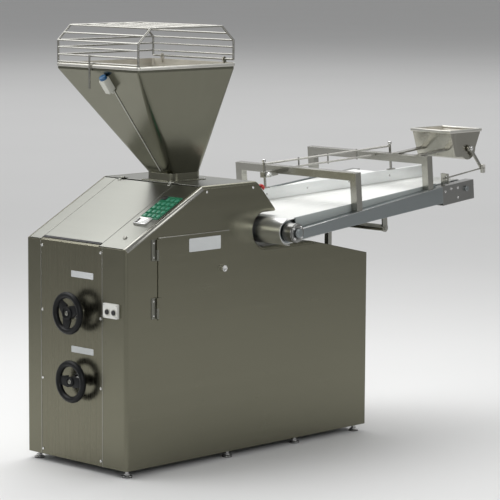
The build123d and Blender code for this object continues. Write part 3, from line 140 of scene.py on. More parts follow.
def facing(place: Vector, out: Sequence[float], up: Sequence[float] = OUT_UP) -> Matrix:
    """Frame that stands on a face.

    Args:
        place: Its origin in the row frame.
        out: Direction out of the face, which becomes Z.
        up: Direction that Y follows as nearly as it can.

    Returns:
        The matrix from that frame to the row frame.
    """
    z = Vector(out).normalized()
    x = Vector(up).cross(z).normalized()
    matrix = Matrix((x, z.cross(x), z)).transposed().to_4x4()
    matrix.translation = place
    return matrix


def standing(x: float = 0.0, y: float = 0.0, z: float = 0.0) -> Matrix:
    """Frame at a place on the machine, with the axes of the row frame."""
    return Matrix.Translation(at(x, y, z))


def turned(angle: float) -> Matrix:
    """Turn about the local Z by an angle in degrees."""
    return Matrix.Rotation(math.radians(angle), 4, "Z")


def shifted(x: float, y: float, z: float = 0.0) -> Matrix:
    """Shift by millimetres within a local frame of metres."""
    return Matrix.Translation((x * MM, y * MM, z * MM))


def stave(centre: Vector, count: int) -> int:
    """Index of the stave, one of a count round the local Z, that a point lies in."""
    return math.floor(math.atan2(centre.y, centre.x) / math.tau * count)


JOINTS: dict[str, dict[str, Any]] = {joint["name"]: joint for joint in frame["joints"]}


def pivot(joint: str) -> Vector:
    """Point of a joint's axis in the row frame."""
    return Vector(JOINTS[joint]["pos_m"])


def beside(joint: str, y: float) -> Vector:
    """Point of a joint's axis, moved across the machine to a distance from the near side panel."""
    axis = pivot(joint)
    return Vector((axis.x, NEAR_Y + y * MM, axis.z))


FRONT_TOP = 828.0
SLOPE_RISE = 200.0
SLOPE_RUN = 381.0
SLOPE = standing(z=FRONT_TOP) @ Matrix.Rotation(-math.atan2(SLOPE_RISE, SLOPE_RUN), 4, "Y")

INCLINE = math.radians(5.1)
BELT = Matrix.Translation(beside("tail_roller_turn", 0.0)) @ Matrix.Rotation(-INCLINE, 4, "Y")


def on_belt(u: float, y: float, w: float, out: Sequence[float], up: Sequence[float] = OUT_UP) -> Matrix:
    """Frame that stands on a face of the tilted conveyor.

    Args:
        u: Millimetres along the belt from the tail roller's axis.
        y: Millimetres from the near side panel.
        w: Millimetres square to the belt from the tail roller's axis.
        out: Direction out of the face, in the conveyor's own axes.
        up: Direction that Y follows, in the conveyor's own axes.

    Returns:
        The matrix from that frame to the row frame.
    """
    return BELT @ facing(Vector((u, y, w)) * MM, out, up)


class Value:
    """A number socket that adds Math nodes where it is used in an expression."""

    def __init__(self, tree: bpy.types.NodeTree, socket: bpy.types.NodeSocket) -> None:
        """Wrap a number socket of a node tree."""
        self.tree = tree
        self.socket = socket

    def _math(self, operation: str, first: Any, second: Any = None, clamp: bool = False) -> "Value":
        """Add a Math node.

        Args:
            operation: The node's operation.
            first: Its first operand, a value or a number.
            second: Its second operand, where it has one.
            clamp: Whether its result is kept between 0 and 1.

        Returns:
            The node's result.
        """
        node = self.tree.nodes.new("ShaderNodeMath")
        node.operation = operation
        node.use_clamp = clamp
        for socket, operand in zip(node.inputs, (first, second)):
            if isinstance(operand, Value):
                self.tree.links.new(operand.socket, socket)
            elif operand is not None:
                socket.default_value = operand
        return Value(self.tree, node.outputs[0])

    def __add__(self, other: Any) -> "Value":
        """Sum."""
        return self._math("ADD", self, other)

    def __radd__(self, other: Any) -> "Value":
        """Sum with a number in front."""
        return self._math("ADD", other, self)

    def __sub__(self, other: Any) -> "Value":
        """Difference."""
        return self._math("SUBTRACT", self, other)

    def __rsub__(self, other: Any) -> "Value":
        """Difference from a number in front."""
        return self._math("SUBTRACT", other, self)

    def __mul__(self, other: Any) -> "Value":
        """Product."""
        return self._math("MULTIPLY", self, other)

    def __rmul__(self, other: Any) -> "Value":
        """Product with a number in front."""
        return self._math("MULTIPLY", other, self)

    def kept(self) -> "Value":
        """The same value, kept between 0 and 1."""
        return self._math("ADD", self, 0.0, clamp=True)

    def over(self, edge: float, width: float) -> "Value":
        """Soft step from 0 below an edge to 1 above it, over a width."""
        return ((self - edge) * (1.0 / width)).kept()


class Shader:
    """A material's node tree, with one way to add a node and short names for common ones."""

    def __init__(self, name: str) -> None:
        """Start a material with a Principled surface."""
        self.material = bpy.data.materials.new(name)
        self.material.use_nodes = True
        self.tree = self.material.node_tree
        self.tree.nodes.clear()
        self.surface = self.node("ShaderNodeBsdfPrincipled")
        output = self.node("ShaderNodeOutputMaterial")
        self.tree.links.new(self.surface.outputs["BSDF"], output.inputs["Surface"])
        self.coords = self.node("ShaderNodeTexCoord").outputs["Object"]

    def node(self, kind: str, settings: dict[str, Any] | None = None,
             sockets: dict[str | int, Any] | None = None) -> bpy.types.Node:
        """Add a node.

        Args:
            kind: The node's type.
            settings: Its properties, which are set first.
            sockets: Values or links of its inputs, by name or index.

        Returns:
            The node.
        """
        node = self.tree.nodes.new(kind)
        for key, value in (settings or {}).items():
            setattr(node, key, value)
        for key, value in (sockets or {}).items():
            self.feed(node.inputs[key], value)
        return node

    def feed(self, socket: bpy.types.NodeSocket, value: Any) -> None:
        """Link a value or socket to an input, or set the input's own number or colour."""
        if isinstance(value, Value):
            self.tree.links.new(value.socket, socket)
        elif isinstance(value, bpy.types.NodeSocket):
            self.tree.links.new(value, socket)
        elif isinstance(value, tuple) and len(value) == 3 and socket.type == "RGBA":
            socket.default_value = (*value, 1.0)
        else:
            socket.default_value = value

    def value(self, socket: bpy.types.NodeSocket) -> Value:
        """Wrap a number socket."""
        return Value(self.tree, socket)

    def stretched(self, scale: Sequence[float],
                  turn: Sequence[float] = (0, 0, 0)) -> bpy.types.NodeSocket:
        """Object coordinates, scaled and turned."""
        return self.node("ShaderNodeMapping", sockets={
            "Vector": self.coords, "Scale": tuple(scale), "Rotation": tuple(turn)}).outputs["Vector"]

    def noise(self, scale: float, detail: float = 3.0,
              vector: bpy.types.NodeSocket | None = None) -> Value:
        """Cloudy noise between 0 and 1.

        Args:
            scale: Its clouds per unit of the vector.
            detail: Its finer layers.
            vector: Where it is read, or None for object coordinates.

        Returns:
            The noise.
        """
        node = self.node("ShaderNodeTexNoise", sockets={
            "Vector": vector or self.coords, "Scale": scale, "Detail": detail})
        return self.value(node.outputs["Fac"])

    def wave(self, scale: float, direction: str) -> Value:
        """Even stripes across one axis of object coordinates."""
        node = self.node("ShaderNodeTexWave", {"bands_direction": direction}, {
            "Vector": self.coords, "Scale": scale, "Distortion": 0.0})
        return self.value(node.outputs["Fac"])

    def edges(self, radius: float, gain: float) -> tuple[Value, bpy.types.NodeSocket]:
        """Find the edges of a shape.

        Args:
            radius: How far an edge reaches, in metres.
            gain: How soon the mask is full.

        Returns:
            A mask that is 1 along edges, and the normal rounded over them.
        """
        rounded = self.node("ShaderNodeBevel", {"samples": 6}, {"Radius": radius}).outputs["Normal"]
        true = self.node("ShaderNodeNewGeometry").outputs["Normal"]
        return ((1.0 - self.dot(rounded, true)) * gain).kept(), rounded

    def vector_math(self, operation: str, first: Any, second: Any) -> bpy.types.Node:
        """Add a Vector Math node with two vectors, or with a vector and its scale."""
        scale = operation == "SCALE"
        return self.node("ShaderNodeVectorMath", {"operation": operation}, {
            0: first, "Scale" if scale else 1: second})

    def dot(self, first: bpy.types.NodeSocket, second: bpy.types.NodeSocket) -> Value:
        """Dot product of two vectors."""
        return self.value(self.vector_math("DOT_PRODUCT", first, second).outputs["Value"])

    def scaled(self, colour: Colour, factor: Value) -> bpy.types.NodeSocket:
        """Colour times a value."""
        return self.vector_math("SCALE", colour, factor).outputs["Vector"]

    def mixed(self, factor: Value, first: Any, second: Any) -> bpy.types.NodeSocket:
        """Colour between two colours.

        Args:
            factor: 0 gives the first, 1 the second.
            first: A colour or a socket.
            second: A colour or a socket.

        Returns:
            The mixed colour.
        """
        node = self.node("ShaderNodeMix", {"data_type": "RGBA"}, {0: factor, 6: first, 7: second})
        return node.outputs[2]

    def bump(self, height: Value, strength: float, distance: float,
             normal: bpy.types.NodeSocket | None = None) -> bpy.types.NodeSocket:
        """Normal of a small relief.

        Args:
            height: The relief.
            strength: Its share.
            distance: Its depth in metres.
            normal: The normal that it lies on, if not the surface's own.

        Returns:
            The bumped normal.
        """
        sockets: dict[str | int, Any] = {"Height": height, "Strength": strength, "Distance": distance}
        if normal is not None:
            sockets["Normal"] = normal
        return self.node("ShaderNodeBump", sockets=sockets).outputs["Normal"]

    def dress(self, **sockets: Any) -> None:
        """Set or link inputs of the Principled surface, with _ for a space in their names."""
        for key, value in sockets.items():
            self.feed(self.surface.inputs[key.replace("_", " ")], value)


MATERIALS: dict["Finish", bpy.types.Material] = {}


@dataclass(frozen=True)
class Finish:
    """A surface finish: its name, main colour and roughness."""

    name: str
    colour: Colour
    roughness: float

    def material(self) -> bpy.types.Material:
        """The finish as a material, made once."""
        if self not in MATERIALS:
            shader = Shader(self.name)
            self.shade(shader)
            MATERIALS[self] = shader.material
        return MATERIALS[self]

    def shade(self, shader: Shader) -> None:
        """Add the nodes of the finish; each kind of finish has its own."""
        raise NotImplementedError

    def lit(self, gain: float) -> Colour:
        """The main colour times a gain, with no channel over 1."""
        red, green, blue = (min(1.0, gain * channel) for channel in self.colour)
        return red, green, blue


@dataclass(frozen=True)
class BrushedSteel(Finish):
    """Stainless sheet with brushing marks, handling smears, a slight waviness and edges lightened as a painted
    highlight.
    """

    grain: Grain = Grain.ALONG
    streaks: float = 0.12

    def steel(self, shader: Shader) -> tuple[bpy.types.NodeSocket, Value, bpy.types.NodeSocket]:
        """Marks along the grain vary tone, roughness and relief.

        Args:
            shader: The material's nodes.

        Returns:
            The colour, roughness and normal of the bare sheet.
        """
        fine = shader.noise(1.0, 2.0, shader.stretched(self.grain.value))
        wide = shader.noise(1.0, 3.0, shader.stretched([stretch * 0.035 for stretch in self.grain.value]))
        cloud = shader.noise(2.6, 4.0)
        smear = shader.noise(9.0, 3.0).over(0.56, 0.2)
        edge, normal = shader.edges(0.0025, 2.2)
        tone = 0.87 + self.streaks * wide + 0.10 * fine + 0.06 * cloud
        rough = self.roughness + 0.06 * (wide - 0.5) + 0.02 * smear + 0.06 * (fine - 0.5)
        # Edges are mixed towards a lighter tone: a painted highlight along folds, seams and rims.
        colour = shader.mixed(0.55 * edge, shader.scaled(self.colour, tone), self.lit(2.2))
        wavy = shader.bump(shader.noise(1.7, 1.0), 0.5, 0.005, normal)
        return colour, rough - 0.05 * edge, shader.bump(fine, 0.06, 0.0004, wavy)

    def shade(self, shader: Shader) -> None:
        """The bare sheet."""
        colour, rough, normal = self.steel(shader)
        shader.dress(Base_Color=colour, Roughness=rough.kept(), Metallic=1.0, Normal=normal)


@dataclass(frozen=True)
class FlouredSteel(BrushedSteel):
    """Sheet of an open vessel, with a film of flour on its inside."""

    node: str = ""
    flour: Colour = (0.78, 0.74, 0.66)

    def inside(self, shader: Shader) -> Value:
        """Mask of the faces that look towards the middle of the vessel's mouth."""
        low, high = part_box(self.node)
        middle = ((low[0] + high[0]) / 2, (low[1] + high[1]) / 2, high[2])
        inward = shader.vector_math("SUBTRACT", middle, shader.coords).outputs["Vector"]
        normal = shader.node("ShaderNodeTexCoord").outputs["Normal"]
        return shader.dot(inward, normal).over(0.0, 0.01)

    def shade(self, shader: Shader) -> None:
        """Bare sheet outside, and a cloudy film of flour inside."""
        colour, rough, normal = self.steel(shader)
        film = self.inside(shader) * (0.36 + 0.42 * shader.noise(16.0, 4.0))
        shader.dress(
            Base_Color=shader.mixed(film.kept(), colour, self.flour),
            Roughness=(rough + 0.35 * film).kept(),
            Metallic=(1.0 - film).kept(),
            Normal=normal)


@dataclass(frozen=True)
class RoundSteel(Finish):
    """Polished or turned steel on bars, wire, shafts and fasteners."""

    marks: float = 500.0

    def shade(self, shader: Shader) -> None:
        """Fine tool marks and dull patches."""
        fine = shader.noise(self.marks, 2.0)
        dull = shader.noise(14.0, 3.0)
        edge, normal = shader.edges(0.0015, 2.0)
        tone = 0.84 + 0.12 * fine + 0.16 * dull
        shader.dress(
            Base_Color=shader.mixed(0.6 * edge, shader.scaled(self.colour, tone), self.lit(1.35)),
            Roughness=(self.roughness + 0.12 * (dull - 0.5) + 0.05 * (fine - 0.5)).kept(),
            Metallic=1.0,
            Normal=shader.bump(fine, 0.05, 0.0003, normal))


@dataclass(frozen=True)
class WovenBelt(Finish):
    """Coated conveyor cloth: a fine weave under a matte face, dusted with flour."""

    pitch: float = 0.0024

    def shade(self, shader: Shader) -> None:
        """Warp and weft as relief, flour as pale patches and worn tracks along the belt."""
        scale = 0.314 / self.pitch
        weave = shader.wave(scale, "X") * shader.wave(scale, "Y")
        flour = shader.noise(7.0, 5.0)
        track = shader.noise(1.0, 3.0, shader.stretched((1.2, 26.0, 26.0)))
        tone = 0.90 + 0.05 * weave + 0.06 * flour
        worn = 0.5 * track.over(0.5, 0.3)
        shader.dress(
            Base_Color=shader.mixed(worn, shader.scaled(self.colour, tone), self.lit(0.86)),
            Roughness=(self.roughness + 0.10 * flour - 0.05 * weave).kept(),
            Normal=shader.bump(weave, 0.35, 0.0004),
            Sheen_Weight=0.15)


@dataclass(frozen=True)
class Plastic(Finish):
    """Moulded or milled plastic with a faint skin, scuffs and rubbed edges."""

    skin: float = 700.0
    scuff: Colour = (0.35, 0.35, 0.35)
    coat: float = 0.0
    shine: float = 0.5

    def shade(self, shader: Shader) -> None:
        """Skin relief, cloudy sheen and paler rubbed edges."""
        skin = shader.noise(self.skin, 2.0)
        cloud = shader.noise(11.0, 4.0)
        slanted = shader.stretched((30.0, 300.0, 160.0), (0.4, 0.2, 0.7))
        scratch = shader.noise(1.0, 2.0, slanted).over(0.66, 0.1)
        edge, normal = shader.edges(0.0014, 1.6)
        tone = 0.88 + 0.10 * cloud + 0.08 * skin
        rubbed = 0.16 * edge + 0.05 * scratch
        shader.dress(
            Base_Color=shader.mixed(rubbed, shader.scaled(self.colour, tone), self.scuff),
            Roughness=(self.roughness + 0.16 * (cloud - 0.5) + 0.12 * scratch).kept(),
            Normal=shader.bump(skin, 0.10, 0.0003, normal),
            Coat_Weight=self.coat,
            Specular_IOR_Level=self.shine,
            IOR=1.48)


@dataclass(frozen=True)
class Paint(Finish):
    """Sprayed or powder coat with an orange-peel face, dust and chipped edges."""

    chip: Colour = (0.30, 0.29, 0.28)

    def shade(self, shader: Shader) -> None:
        """Orange peel as relief, dust on the tone, bare metal at some edges."""
        peel = shader.noise(420.0, 2.0)
        dust = shader.noise(5.0, 5.0)
        edge, normal = shader.edges(0.0016, 2.4)
        chipped = edge * shader.noise(160.0, 3.0).over(0.52, 0.08)
        tone = 0.86 + 0.20 * dust
        shader.dress(
            Base_Color=shader.mixed(chipped, shader.scaled(self.colour, tone), self.chip),
            Roughness=(self.roughness + 0.16 * (dust - 0.5) - 0.1 * chipped).kept(),
            Metallic=0.8 * chipped,
            Normal=shader.bump(peel, 0.18, 0.0005, normal))


@dataclass(frozen=True)
class Casting(Finish):
    """Machined grey casting with pores."""

    def shade(self, shader: Shader) -> None:
        """Pores as dark pits, tool marks as tone."""
        pores = shader.noise(900.0, 3.0).over(0.62, 0.1)
        tool = shader.noise(1.0, 2.0, shader.stretched((4.0, 380.0, 380.0)))
        edge, normal = shader.edges(0.0016, 2.0)
        tone = 0.84 + 0.22 * tool - 0.25 * pores
        shader.dress(
            Base_Color=shader.mixed(0.5 * edge, shader.scaled(self.colour, tone), self.lit(1.5)),
            Roughness=(self.roughness + 0.12 * tool + 0.1 * pores).kept(),
            Metallic=0.85,
            Normal=shader.bump(1.0 - pores, 0.2, 0.0004, normal))


@dataclass(frozen=True)
class Rubber(Finish):
    """Matte rubber with patches of floor dust."""

    dust: Colour = (0.32, 0.31, 0.29)

    def shade(self, shader: Shader) -> None:
        """Grainy skin and pale dust."""
        skin = shader.noise(800.0, 2.0)
        dust = shader.noise(60.0, 4.0).over(0.5, 0.3)
        clean = shader.scaled(self.colour, 0.8 + 0.4 * skin)
        shader.dress(
            Base_Color=shader.mixed(0.25 * dust, clean, self.dust),
            Roughness=(self.roughness + 0.1 * dust).kept(),
            Normal=shader.bump(skin, 0.2, 0.0004))


@dataclass(frozen=True)
class Film(Finish):
    """Printed plate or keypad film: an even colour under a smooth, slightly wavy face."""

    def shade(self, shader: Shader) -> None:
        """Faint waves and fading."""
        wave = shader.noise(38.0, 2.0)
        fade = shader.noise(9.0, 4.0)
        shader.dress(
            Base_Color=shader.scaled(self.colour, 0.90 + 0.14 * fade),
            Roughness=(self.roughness + 0.14 * (wave - 0.5)).kept(),
            Normal=shader.bump(wave, 0.08, 0.0006),
            Coat_Weight=0.2)


@dataclass(frozen=True)
class Bristle(Finish):
    """Dense natural bristle with uneven strands and flour in it."""

    def shade(self, shader: Shader) -> None:
        """Strands and flour vary the tone."""
        strand = shader.noise(620.0, 3.0)
        flour = shader.noise(45.0, 3.0)
        shader.dress(
            Base_Color=shader.scaled(self.colour, 0.62 + 0.30 * strand + 0.25 * flour),
            Roughness=(self.roughness + 0.1 * strand).kept(),
            Normal=shader.bump(strand, 0.3, 0.0006),
            Sheen_Weight=0.2)


# This tone and the upright, hopper and neck sheets below are far darker than bare stainless: painted shade for the
# dark surroundings that these sheets reflect.
STEEL: Colour = (0.180, 0.175, 0.131)
SHEET_ALONG = BrushedSteel("sheet_along", STEEL, 0.25, Grain.ALONG)
SHEET_UPRIGHT = BrushedSteel("sheet_upright", (0.180, 0.173, 0.128), 0.27, Grain.UPRIGHT)
SHEET_SLOPE = BrushedSteel("sheet_slope", (0.275, 0.278, 0.25), 0.30, Grain.ACROSS, 0.08)
SHEET_HOPPER = FlouredSteel("sheet_hopper", (0.170, 0.168, 0.130), 0.23, Grain.UPRIGHT, 0.14, "hopper")
SHEET_NECK = BrushedSteel("sheet_neck", (0.170, 0.168, 0.130), 0.23, Grain.UPRIGHT, 0.14)
# The flour box's outer sheet is lighter than the other sheets: painted light for its lit faces. The flour inside
# is the box's own.
LIT_SHEET_FLOUR = FlouredSteel("lit_sheet_flour", (0.40, 0.39, 0.345), 0.26, Grain.UPRIGHT, 0.12, "flour_box")
# The nose guard's sheet is much lighter than the other sheets: painted light for the direct light that falls on
# it.
LIT_SHEET_NOSE = BrushedSteel("lit_sheet_nose", (0.84, 0.85, 0.85), 0.33, Grain.ACROSS, 0.06)
BAR_STEEL = RoundSteel("bar_steel", (0.38, 0.375, 0.34), 0.24)
RIM_STEEL = RoundSteel("rim_steel", (0.66, 0.65, 0.60), 0.30)
WIRE_STEEL = RoundSteel("wire_steel", (0.34, 0.335, 0.31), 0.24)
TURNED_STEEL = RoundSteel("turned_steel", (0.56, 0.56, 0.55), 0.22, 900.0)
BRIGHT_STEEL = RoundSteel("bright_steel", (0.72, 0.72, 0.71), 0.12, 900.0)
RAIL_ALLOY = BrushedSteel("rail_alloy", (0.28, 0.305, 0.31), 0.32, Grain.ALONG, 0.08)
BLOCK_ALLOY = BrushedSteel("block_alloy", (0.27, 0.27, 0.26), 0.30, Grain.EVEN, 0.08)
BELT_CLOTH = WovenBelt("belt_cloth", (0.87, 0.88, 0.85), 0.55)
BOARD_WHITE = Plastic("board_white", (0.91, 0.93, 0.92), 0.42, 420.0, (0.78, 0.77, 0.73))
STRIP_GREY = Plastic("strip_grey", (0.34, 0.37, 0.36), 0.40, 500.0, (0.50, 0.52, 0.50))
CASE_WHITE = Plastic("case_white", (0.74, 0.74, 0.70), 0.38, 700.0, (0.62, 0.61, 0.58))
CASE_GREY = Plastic("case_grey", (0.60, 0.60, 0.54), 0.40, 700.0, (0.66, 0.65, 0.60))
WHEEL_BLACK = Plastic("wheel_black", (0.008, 0.0085, 0.009), 0.34, 600.0, (0.04, 0.04, 0.04), 0.0, 0.2)
KNOB_BLACK = Plastic("knob_black", (0.020, 0.020, 0.021), 0.34, 900.0, (0.12, 0.12, 0.12))
STOP_RED = Plastic("stop_red", (0.52, 0.022, 0.016), 0.28, 700.0, (0.62, 0.20, 0.17), 0.2)
CAP_BLUE = Plastic("cap_blue", (0.022, 0.105, 0.235), 0.30, 700.0, (0.15, 0.25, 0.40), 0.2)
FOOT_RUBBER = Rubber("foot_rubber", (0.030, 0.030, 0.031), 0.75)
FRAME_PAINT = Paint("frame_paint", (0.26, 0.27, 0.27), 0.42)
MOTOR_PAINT = Paint("motor_paint", (0.085, 0.125, 0.17), 0.36)
TANK_PLASTIC = Plastic("tank_plastic", (0.40, 0.40, 0.37), 0.48, 260.0, (0.50, 0.50, 0.48))
CAST_GREY = Casting("cast_grey", (0.30, 0.30, 0.30), 0.45)
HINGE_STEEL = RoundSteel("hinge_steel", (0.22, 0.22, 0.19), 0.32)
BRONZE = RoundSteel("bronze", (0.50, 0.34, 0.14), 0.28)
BRUSH_HAIR = Bristle("brush_hair", (0.60, 0.54, 0.42), 0.70)
LABEL_WHITE = Film("label_white", (0.60, 0.62, 0.62), 0.32)
KEYPAD_GREEN = Film("keypad_green", (0.008, 0.150, 0.072), 0.26)
KEY_GREEN = Film("key_green", (0.045, 0.270, 0.160), 0.30)

SLOT_FINISH: dict[Slot, Finish] = {
    Slot.SHEET: SHEET_ALONG, Slot.BAR: BAR_STEEL, Slot.MACHINED: TURNED_STEEL, Slot.ALLOY: RAIL_ALLOY,
    Slot.BELT: BELT_CLOTH, Slot.WHITE: CASE_WHITE, Slot.BRUSH: BRUSH_HAIR, Slot.BLACK: KNOB_BLACK,
    Slot.RED: STOP_RED, Slot.BLUE: CAP_BLUE, Slot.RUBBER: FOOT_RUBBER, Slot.FRAME: FRAME_PAINT,
    Slot.CASTING: CAST_GREY, Slot.MOTOR: MOTOR_PAINT, Slot.TANK: TANK_PLASTIC, Slot.BRONZE: BRONZE,
}
NODE_FINISH: dict[str, Finish] = {
    "front_panel": SHEET_UPRIGHT, "slope_lid": SHEET_SLOPE, "control_strip": SHEET_SLOPE,
    "top_cover": SHEET_SLOPE, "hopper": SHEET_HOPPER, "hopper_neck": SHEET_NECK,
    "nose_guard": LIT_SHEET_NOSE, "hopper_guard": WIRE_STEEL, "guide_ladder": WIRE_STEEL,
    "roller_bearings": BLOCK_ALLOY, "flour_box": LIT_SHEET_FLOUR, "rear_panel": SHEET_UPRIGHT,
    "spindle_bearings": TURNED_STEEL, "cover_hinges": HINGE_STEEL,
}


class Blank:
    """A mesh under way: a primitive that edit-mode operators shape into a piece, in millimetres."""

    def __init__(self) -> None:
        """Take the primitive that was just added, with its place in its mesh."""
        self.obj = bpy.context.active_object
        bpy.ops.object.transform_apply(location=True, rotation=True, scale=True)

    @staticmethod
    def clear() -> None:
        """Leave edit mode and deselect everything."""
        active = bpy.context.view_layer.objects.active
        if active is not None and active.mode != "OBJECT":
            bpy.ops.object.mode_set(mode="OBJECT")
        bpy.ops.object.select_all(action="DESELECT")

    @classmethod
    def box(cls, low: Point, high: Point) -> "Blank":
        """Box between two corners."""
        cls.clear()
        first, last = Vector(low), Vector(high)
        bpy.ops.mesh.primitive_cube_add(size=1.0, location=(first + last) / 2, scale=last - first)
        return cls()

    @classmethod
    def disc(cls, radius: float, low: float, high: float, sides: int = 32) -> "Blank":
        """Upright round or many-sided bar between two heights."""
        cls.clear()
        bpy.ops.mesh.primitive_cylinder_add(
            vertices=sides, radius=radius, depth=high - low, location=(0, 0, (low + high) / 2))
        return cls()

    @classmethod
    def cone(cls, root: float, tip: float, low: float, high: float, sides: int) -> "Blank":
        """Upright tapered bar between two heights."""
        cls.clear()
        bpy.ops.mesh.primitive_cone_add(
            vertices=sides, radius1=root, radius2=tip, depth=high - low, location=(0, 0, (low + high) / 2))
        return cls()

    @classmethod
    def ring(cls, radius: float, tube: float, sides: int, around: int) -> "Blank":
        """Flat-lying round ring."""
        cls.clear()
        bpy.ops.mesh.primitive_torus_add(
            major_radius=radius, minor_radius=tube, major_segments=sides, minor_segments=around)
        return cls()

    def activate(self) -> None:
        """Make this the one selected object, in object mode."""
        self.clear()
        self.obj.select_set(True)
        bpy.context.view_layer.objects.active = self.obj

    def pick(self, test: Test, kind: Kind = Kind.FACE) -> "Blank":
        """Select faces or edges in edit mode.

        Args:
            test: Takes an item's centre and its normal, or an edge's direction, and says if it is meant.
            kind: What is selected.

        Returns:
            This blank, in edit mode.
        """
        self.activate()
        bpy.ops.object.mode_set(mode="EDIT")
        bpy.ops.mesh.select_mode(type=kind.value)
        bpy.ops.mesh.select_all(action="DESELECT")
        mesh = bmesh.from_edit_mesh(self.obj.data)
        if kind is Kind.FACE:
            for face in mesh.faces:
                face.select_set(test(face.calc_center_median(), face.normal))
        else:
            for edge in mesh.edges:
                first, last = (vert.co for vert in edge.verts)
                edge.select_set(test((first + last) / 2, (last - first).normalized()))
        mesh.select_flush_mode()
        bmesh.update_edit_mesh(self.obj.data)
        return self

    def top(self, height: float) -> "Blank":
        """Select the faces that point up at a height."""
        return self.pick(lambda centre, normal: normal.z > FLAT and abs(centre.z - height) < TOUCH)

    def bottom(self) -> "Blank":
        """Select the faces that point down."""
        return self.pick(lambda _, normal: normal.z < -FLAT)

    def inset(self, width: float) -> "Blank":
        """Inset the selected faces."""
        bpy.ops.mesh.inset(thickness=width, depth=0.0)
        return self

    def extrude(self, *move: float) -> "Blank":
        """Draw the selected faces out."""
        bpy.ops.mesh.extrude_region_move(TRANSFORM_OT_translate={"value": move})
        return self

    def move(self, *move: float) -> "Blank":
        """Move what is selected."""
        bpy.ops.transform.translate(value=move)
        return self

    def resize(self, value: Point, centre: Point = (0, 0, 0)) -> "Blank":
        """Scale what is selected about a centre."""
        bpy.ops.transform.resize(value=value, center_override=centre)
        return self

    def bevel(self, width: float, steps: int = 3) -> "Blank":
        """Round the selected edges."""
        bpy.ops.mesh.bevel(offset=width, segments=steps, affect="EDGES")
        return self

    def corners(self, width: float, steps: int = 4) -> "Blank":
        """Round the upright edges."""
        return self.pick(lambda _, along: abs(along.z) > FLAT, Kind.EDGE).bevel(width, steps)

    def dome(self, radius: float, height: float, width: float, steps: int = 3) -> "Blank":
        """Round the outer edge of a round bar's top.

        Args:
            radius: The bar's radius.
            height: The top's height.
            width: Width of the rounding.
            steps: Its segments.

        Returns:
            This blank, in edit mode.
        """
        rim = radius * OUTER
        self.pick(lambda centre, _: centre.z > height - TOUCH and centre.xy.length > rim, Kind.EDGE)
        return self.bevel(width, steps)

    def bore(self, width: float) -> "Blank":
        """Cut a hole through between the two flat faces, a width in from their edges."""
        self.pick(lambda centre, normal: abs(normal.z) > FLAT).inset(width)
        bpy.ops.mesh.bridge_edge_loops()
        return self

    def soften(self, width: float, steps: int = 3, angle: float = 40.0) -> "Blank":
        """Round every edge that is sharper than an angle, with an applied Bevel modifier.

        Args:
            width: Width of the rounding.
            steps: Its segments.
            angle: Least angle between two faces, in degrees.

        Returns:
            This blank, in object mode.
        """
        self.activate()
        modifier = self.obj.modifiers.new("soften", "BEVEL")
        modifier.width = width
        modifier.segments = steps
        modifier.limit_method = "ANGLE"
        modifier.angle_limit = math.radians(angle)
        bpy.ops.object.modifier_apply(modifier=modifier.name)
        return self

    def lay(self, matrix: Matrix) -> "Blank":
        """Move and turn the mesh within its own frame of millimetres."""
        self.activate()
        self.obj.data.transform(matrix)
        return self

    def place(self, matrix: Matrix) -> "Blank":
        """Put the mesh into the row frame, from millimetres to metres."""
        self.activate()
        self.obj.data.transform(matrix @ Matrix.Scale(MM, 4))
        return self

    def repeat(self, matrices: Sequence[Matrix]) -> "Blank":
        """Copy the mesh to several places and join the copies.

        Args:
            matrices: Where the copies stand, as matrices within the blank's own frame.

        Returns:
            This blank, which holds all the copies.
        """
        self.activate()
        for matrix in matrices[1:]:
            copy = self.obj.copy()
            copy.data = self.obj.data.copy()
            copy.data.transform(matrix)
            bpy.context.scene.collection.objects.link(copy)
            copy.select_set(True)
        self.obj.data.transform(matrices[0])
        bpy.ops.object.join()
        return self

    def spread(self, places: Sequence[Matrix]) -> "Blank":
        """Copy the mesh to several frames of the row frame, from millimetres to metres."""
        return self.repeat([place @ Matrix.Scale(MM, 4) for place in places])

    def join(self, *others: "Blank") -> "Blank":
        """Take other blanks into this one."""
        self.activate()
        for other in others:
            other.obj.select_set(True)
        bpy.ops.object.join()
        return self

    def finish(self, name: str, body: str, finish: Finish, slot: Slot, *replaced: str) -> None:
        """Name and dress the piece and let it ride on its body.

        Args:
            name: The piece's name.
            body: The body that carries it.
            finish: Its surface.
            slot: The record's slot for that surface; not used.
            replaced: Nodes that it stands for.
        """
        self.activate()
        bpy.ops.object.shade_smooth_by_angle(angle=SMOOTH_ANGLE)
        self.obj.name = self.obj.data.name = name
        self.obj.data.materials.clear()
        self.obj.data.materials.append(finish.material())
        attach(self.obj, body)
        if replaced:
            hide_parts(*replaced)
        LOG.info("piece %s rides on %s, %d faces", name, body, len(self.obj.data.polygons))


@dataclass
class Fastener:
    """Screw and bolt heads in the machine's two forms."""

    radius: float = 5.0
    height: float = 2.5
    socket: float = 2.4
    socket_depth: float = 1.3

    def pan_head(self) -> Blank:
        """Round head with a socket."""
        head = Blank.disc(self.radius, 0.0, self.height, 24)
        head.top(self.height).inset(self.radius - self.socket).extrude(0, 0, -self.socket_depth)
        return head.dome(self.radius, self.height, self.height * 0.4)

    def drive(self, name: str, body: str, finish: Finish, places: Sequence[Matrix],
              *replaced: str) -> None:
        """Set pan heads at several places, as one piece.

        Args:
            name: The piece's name.
            body: The body that carries it.
            finish: Its surface.
            places: Frames on the faces that the heads sit on.
            replaced: Nodes that it stands for.
        """
        self.pan_head().spread(places).finish(name, body, finish, Slot.BAR, *replaced)

    def hex_head(self) -> Blank:
        """Six-sided head on a washer."""
        washer = Blank.disc(self.radius * 1.35, 0.0, self.height * 0.3, 28).soften(self.height * 0.08, 2)
        head = Blank.disc(self.radius * 1.1, self.height * 0.3, self.height * 1.5, 6)
        head.top(self.height * 1.5).inset(self.radius * 0.18).move(0, 0, self.height * 0.12)
        head.soften(self.height * 0.06, 2)
        return head.join(washer)


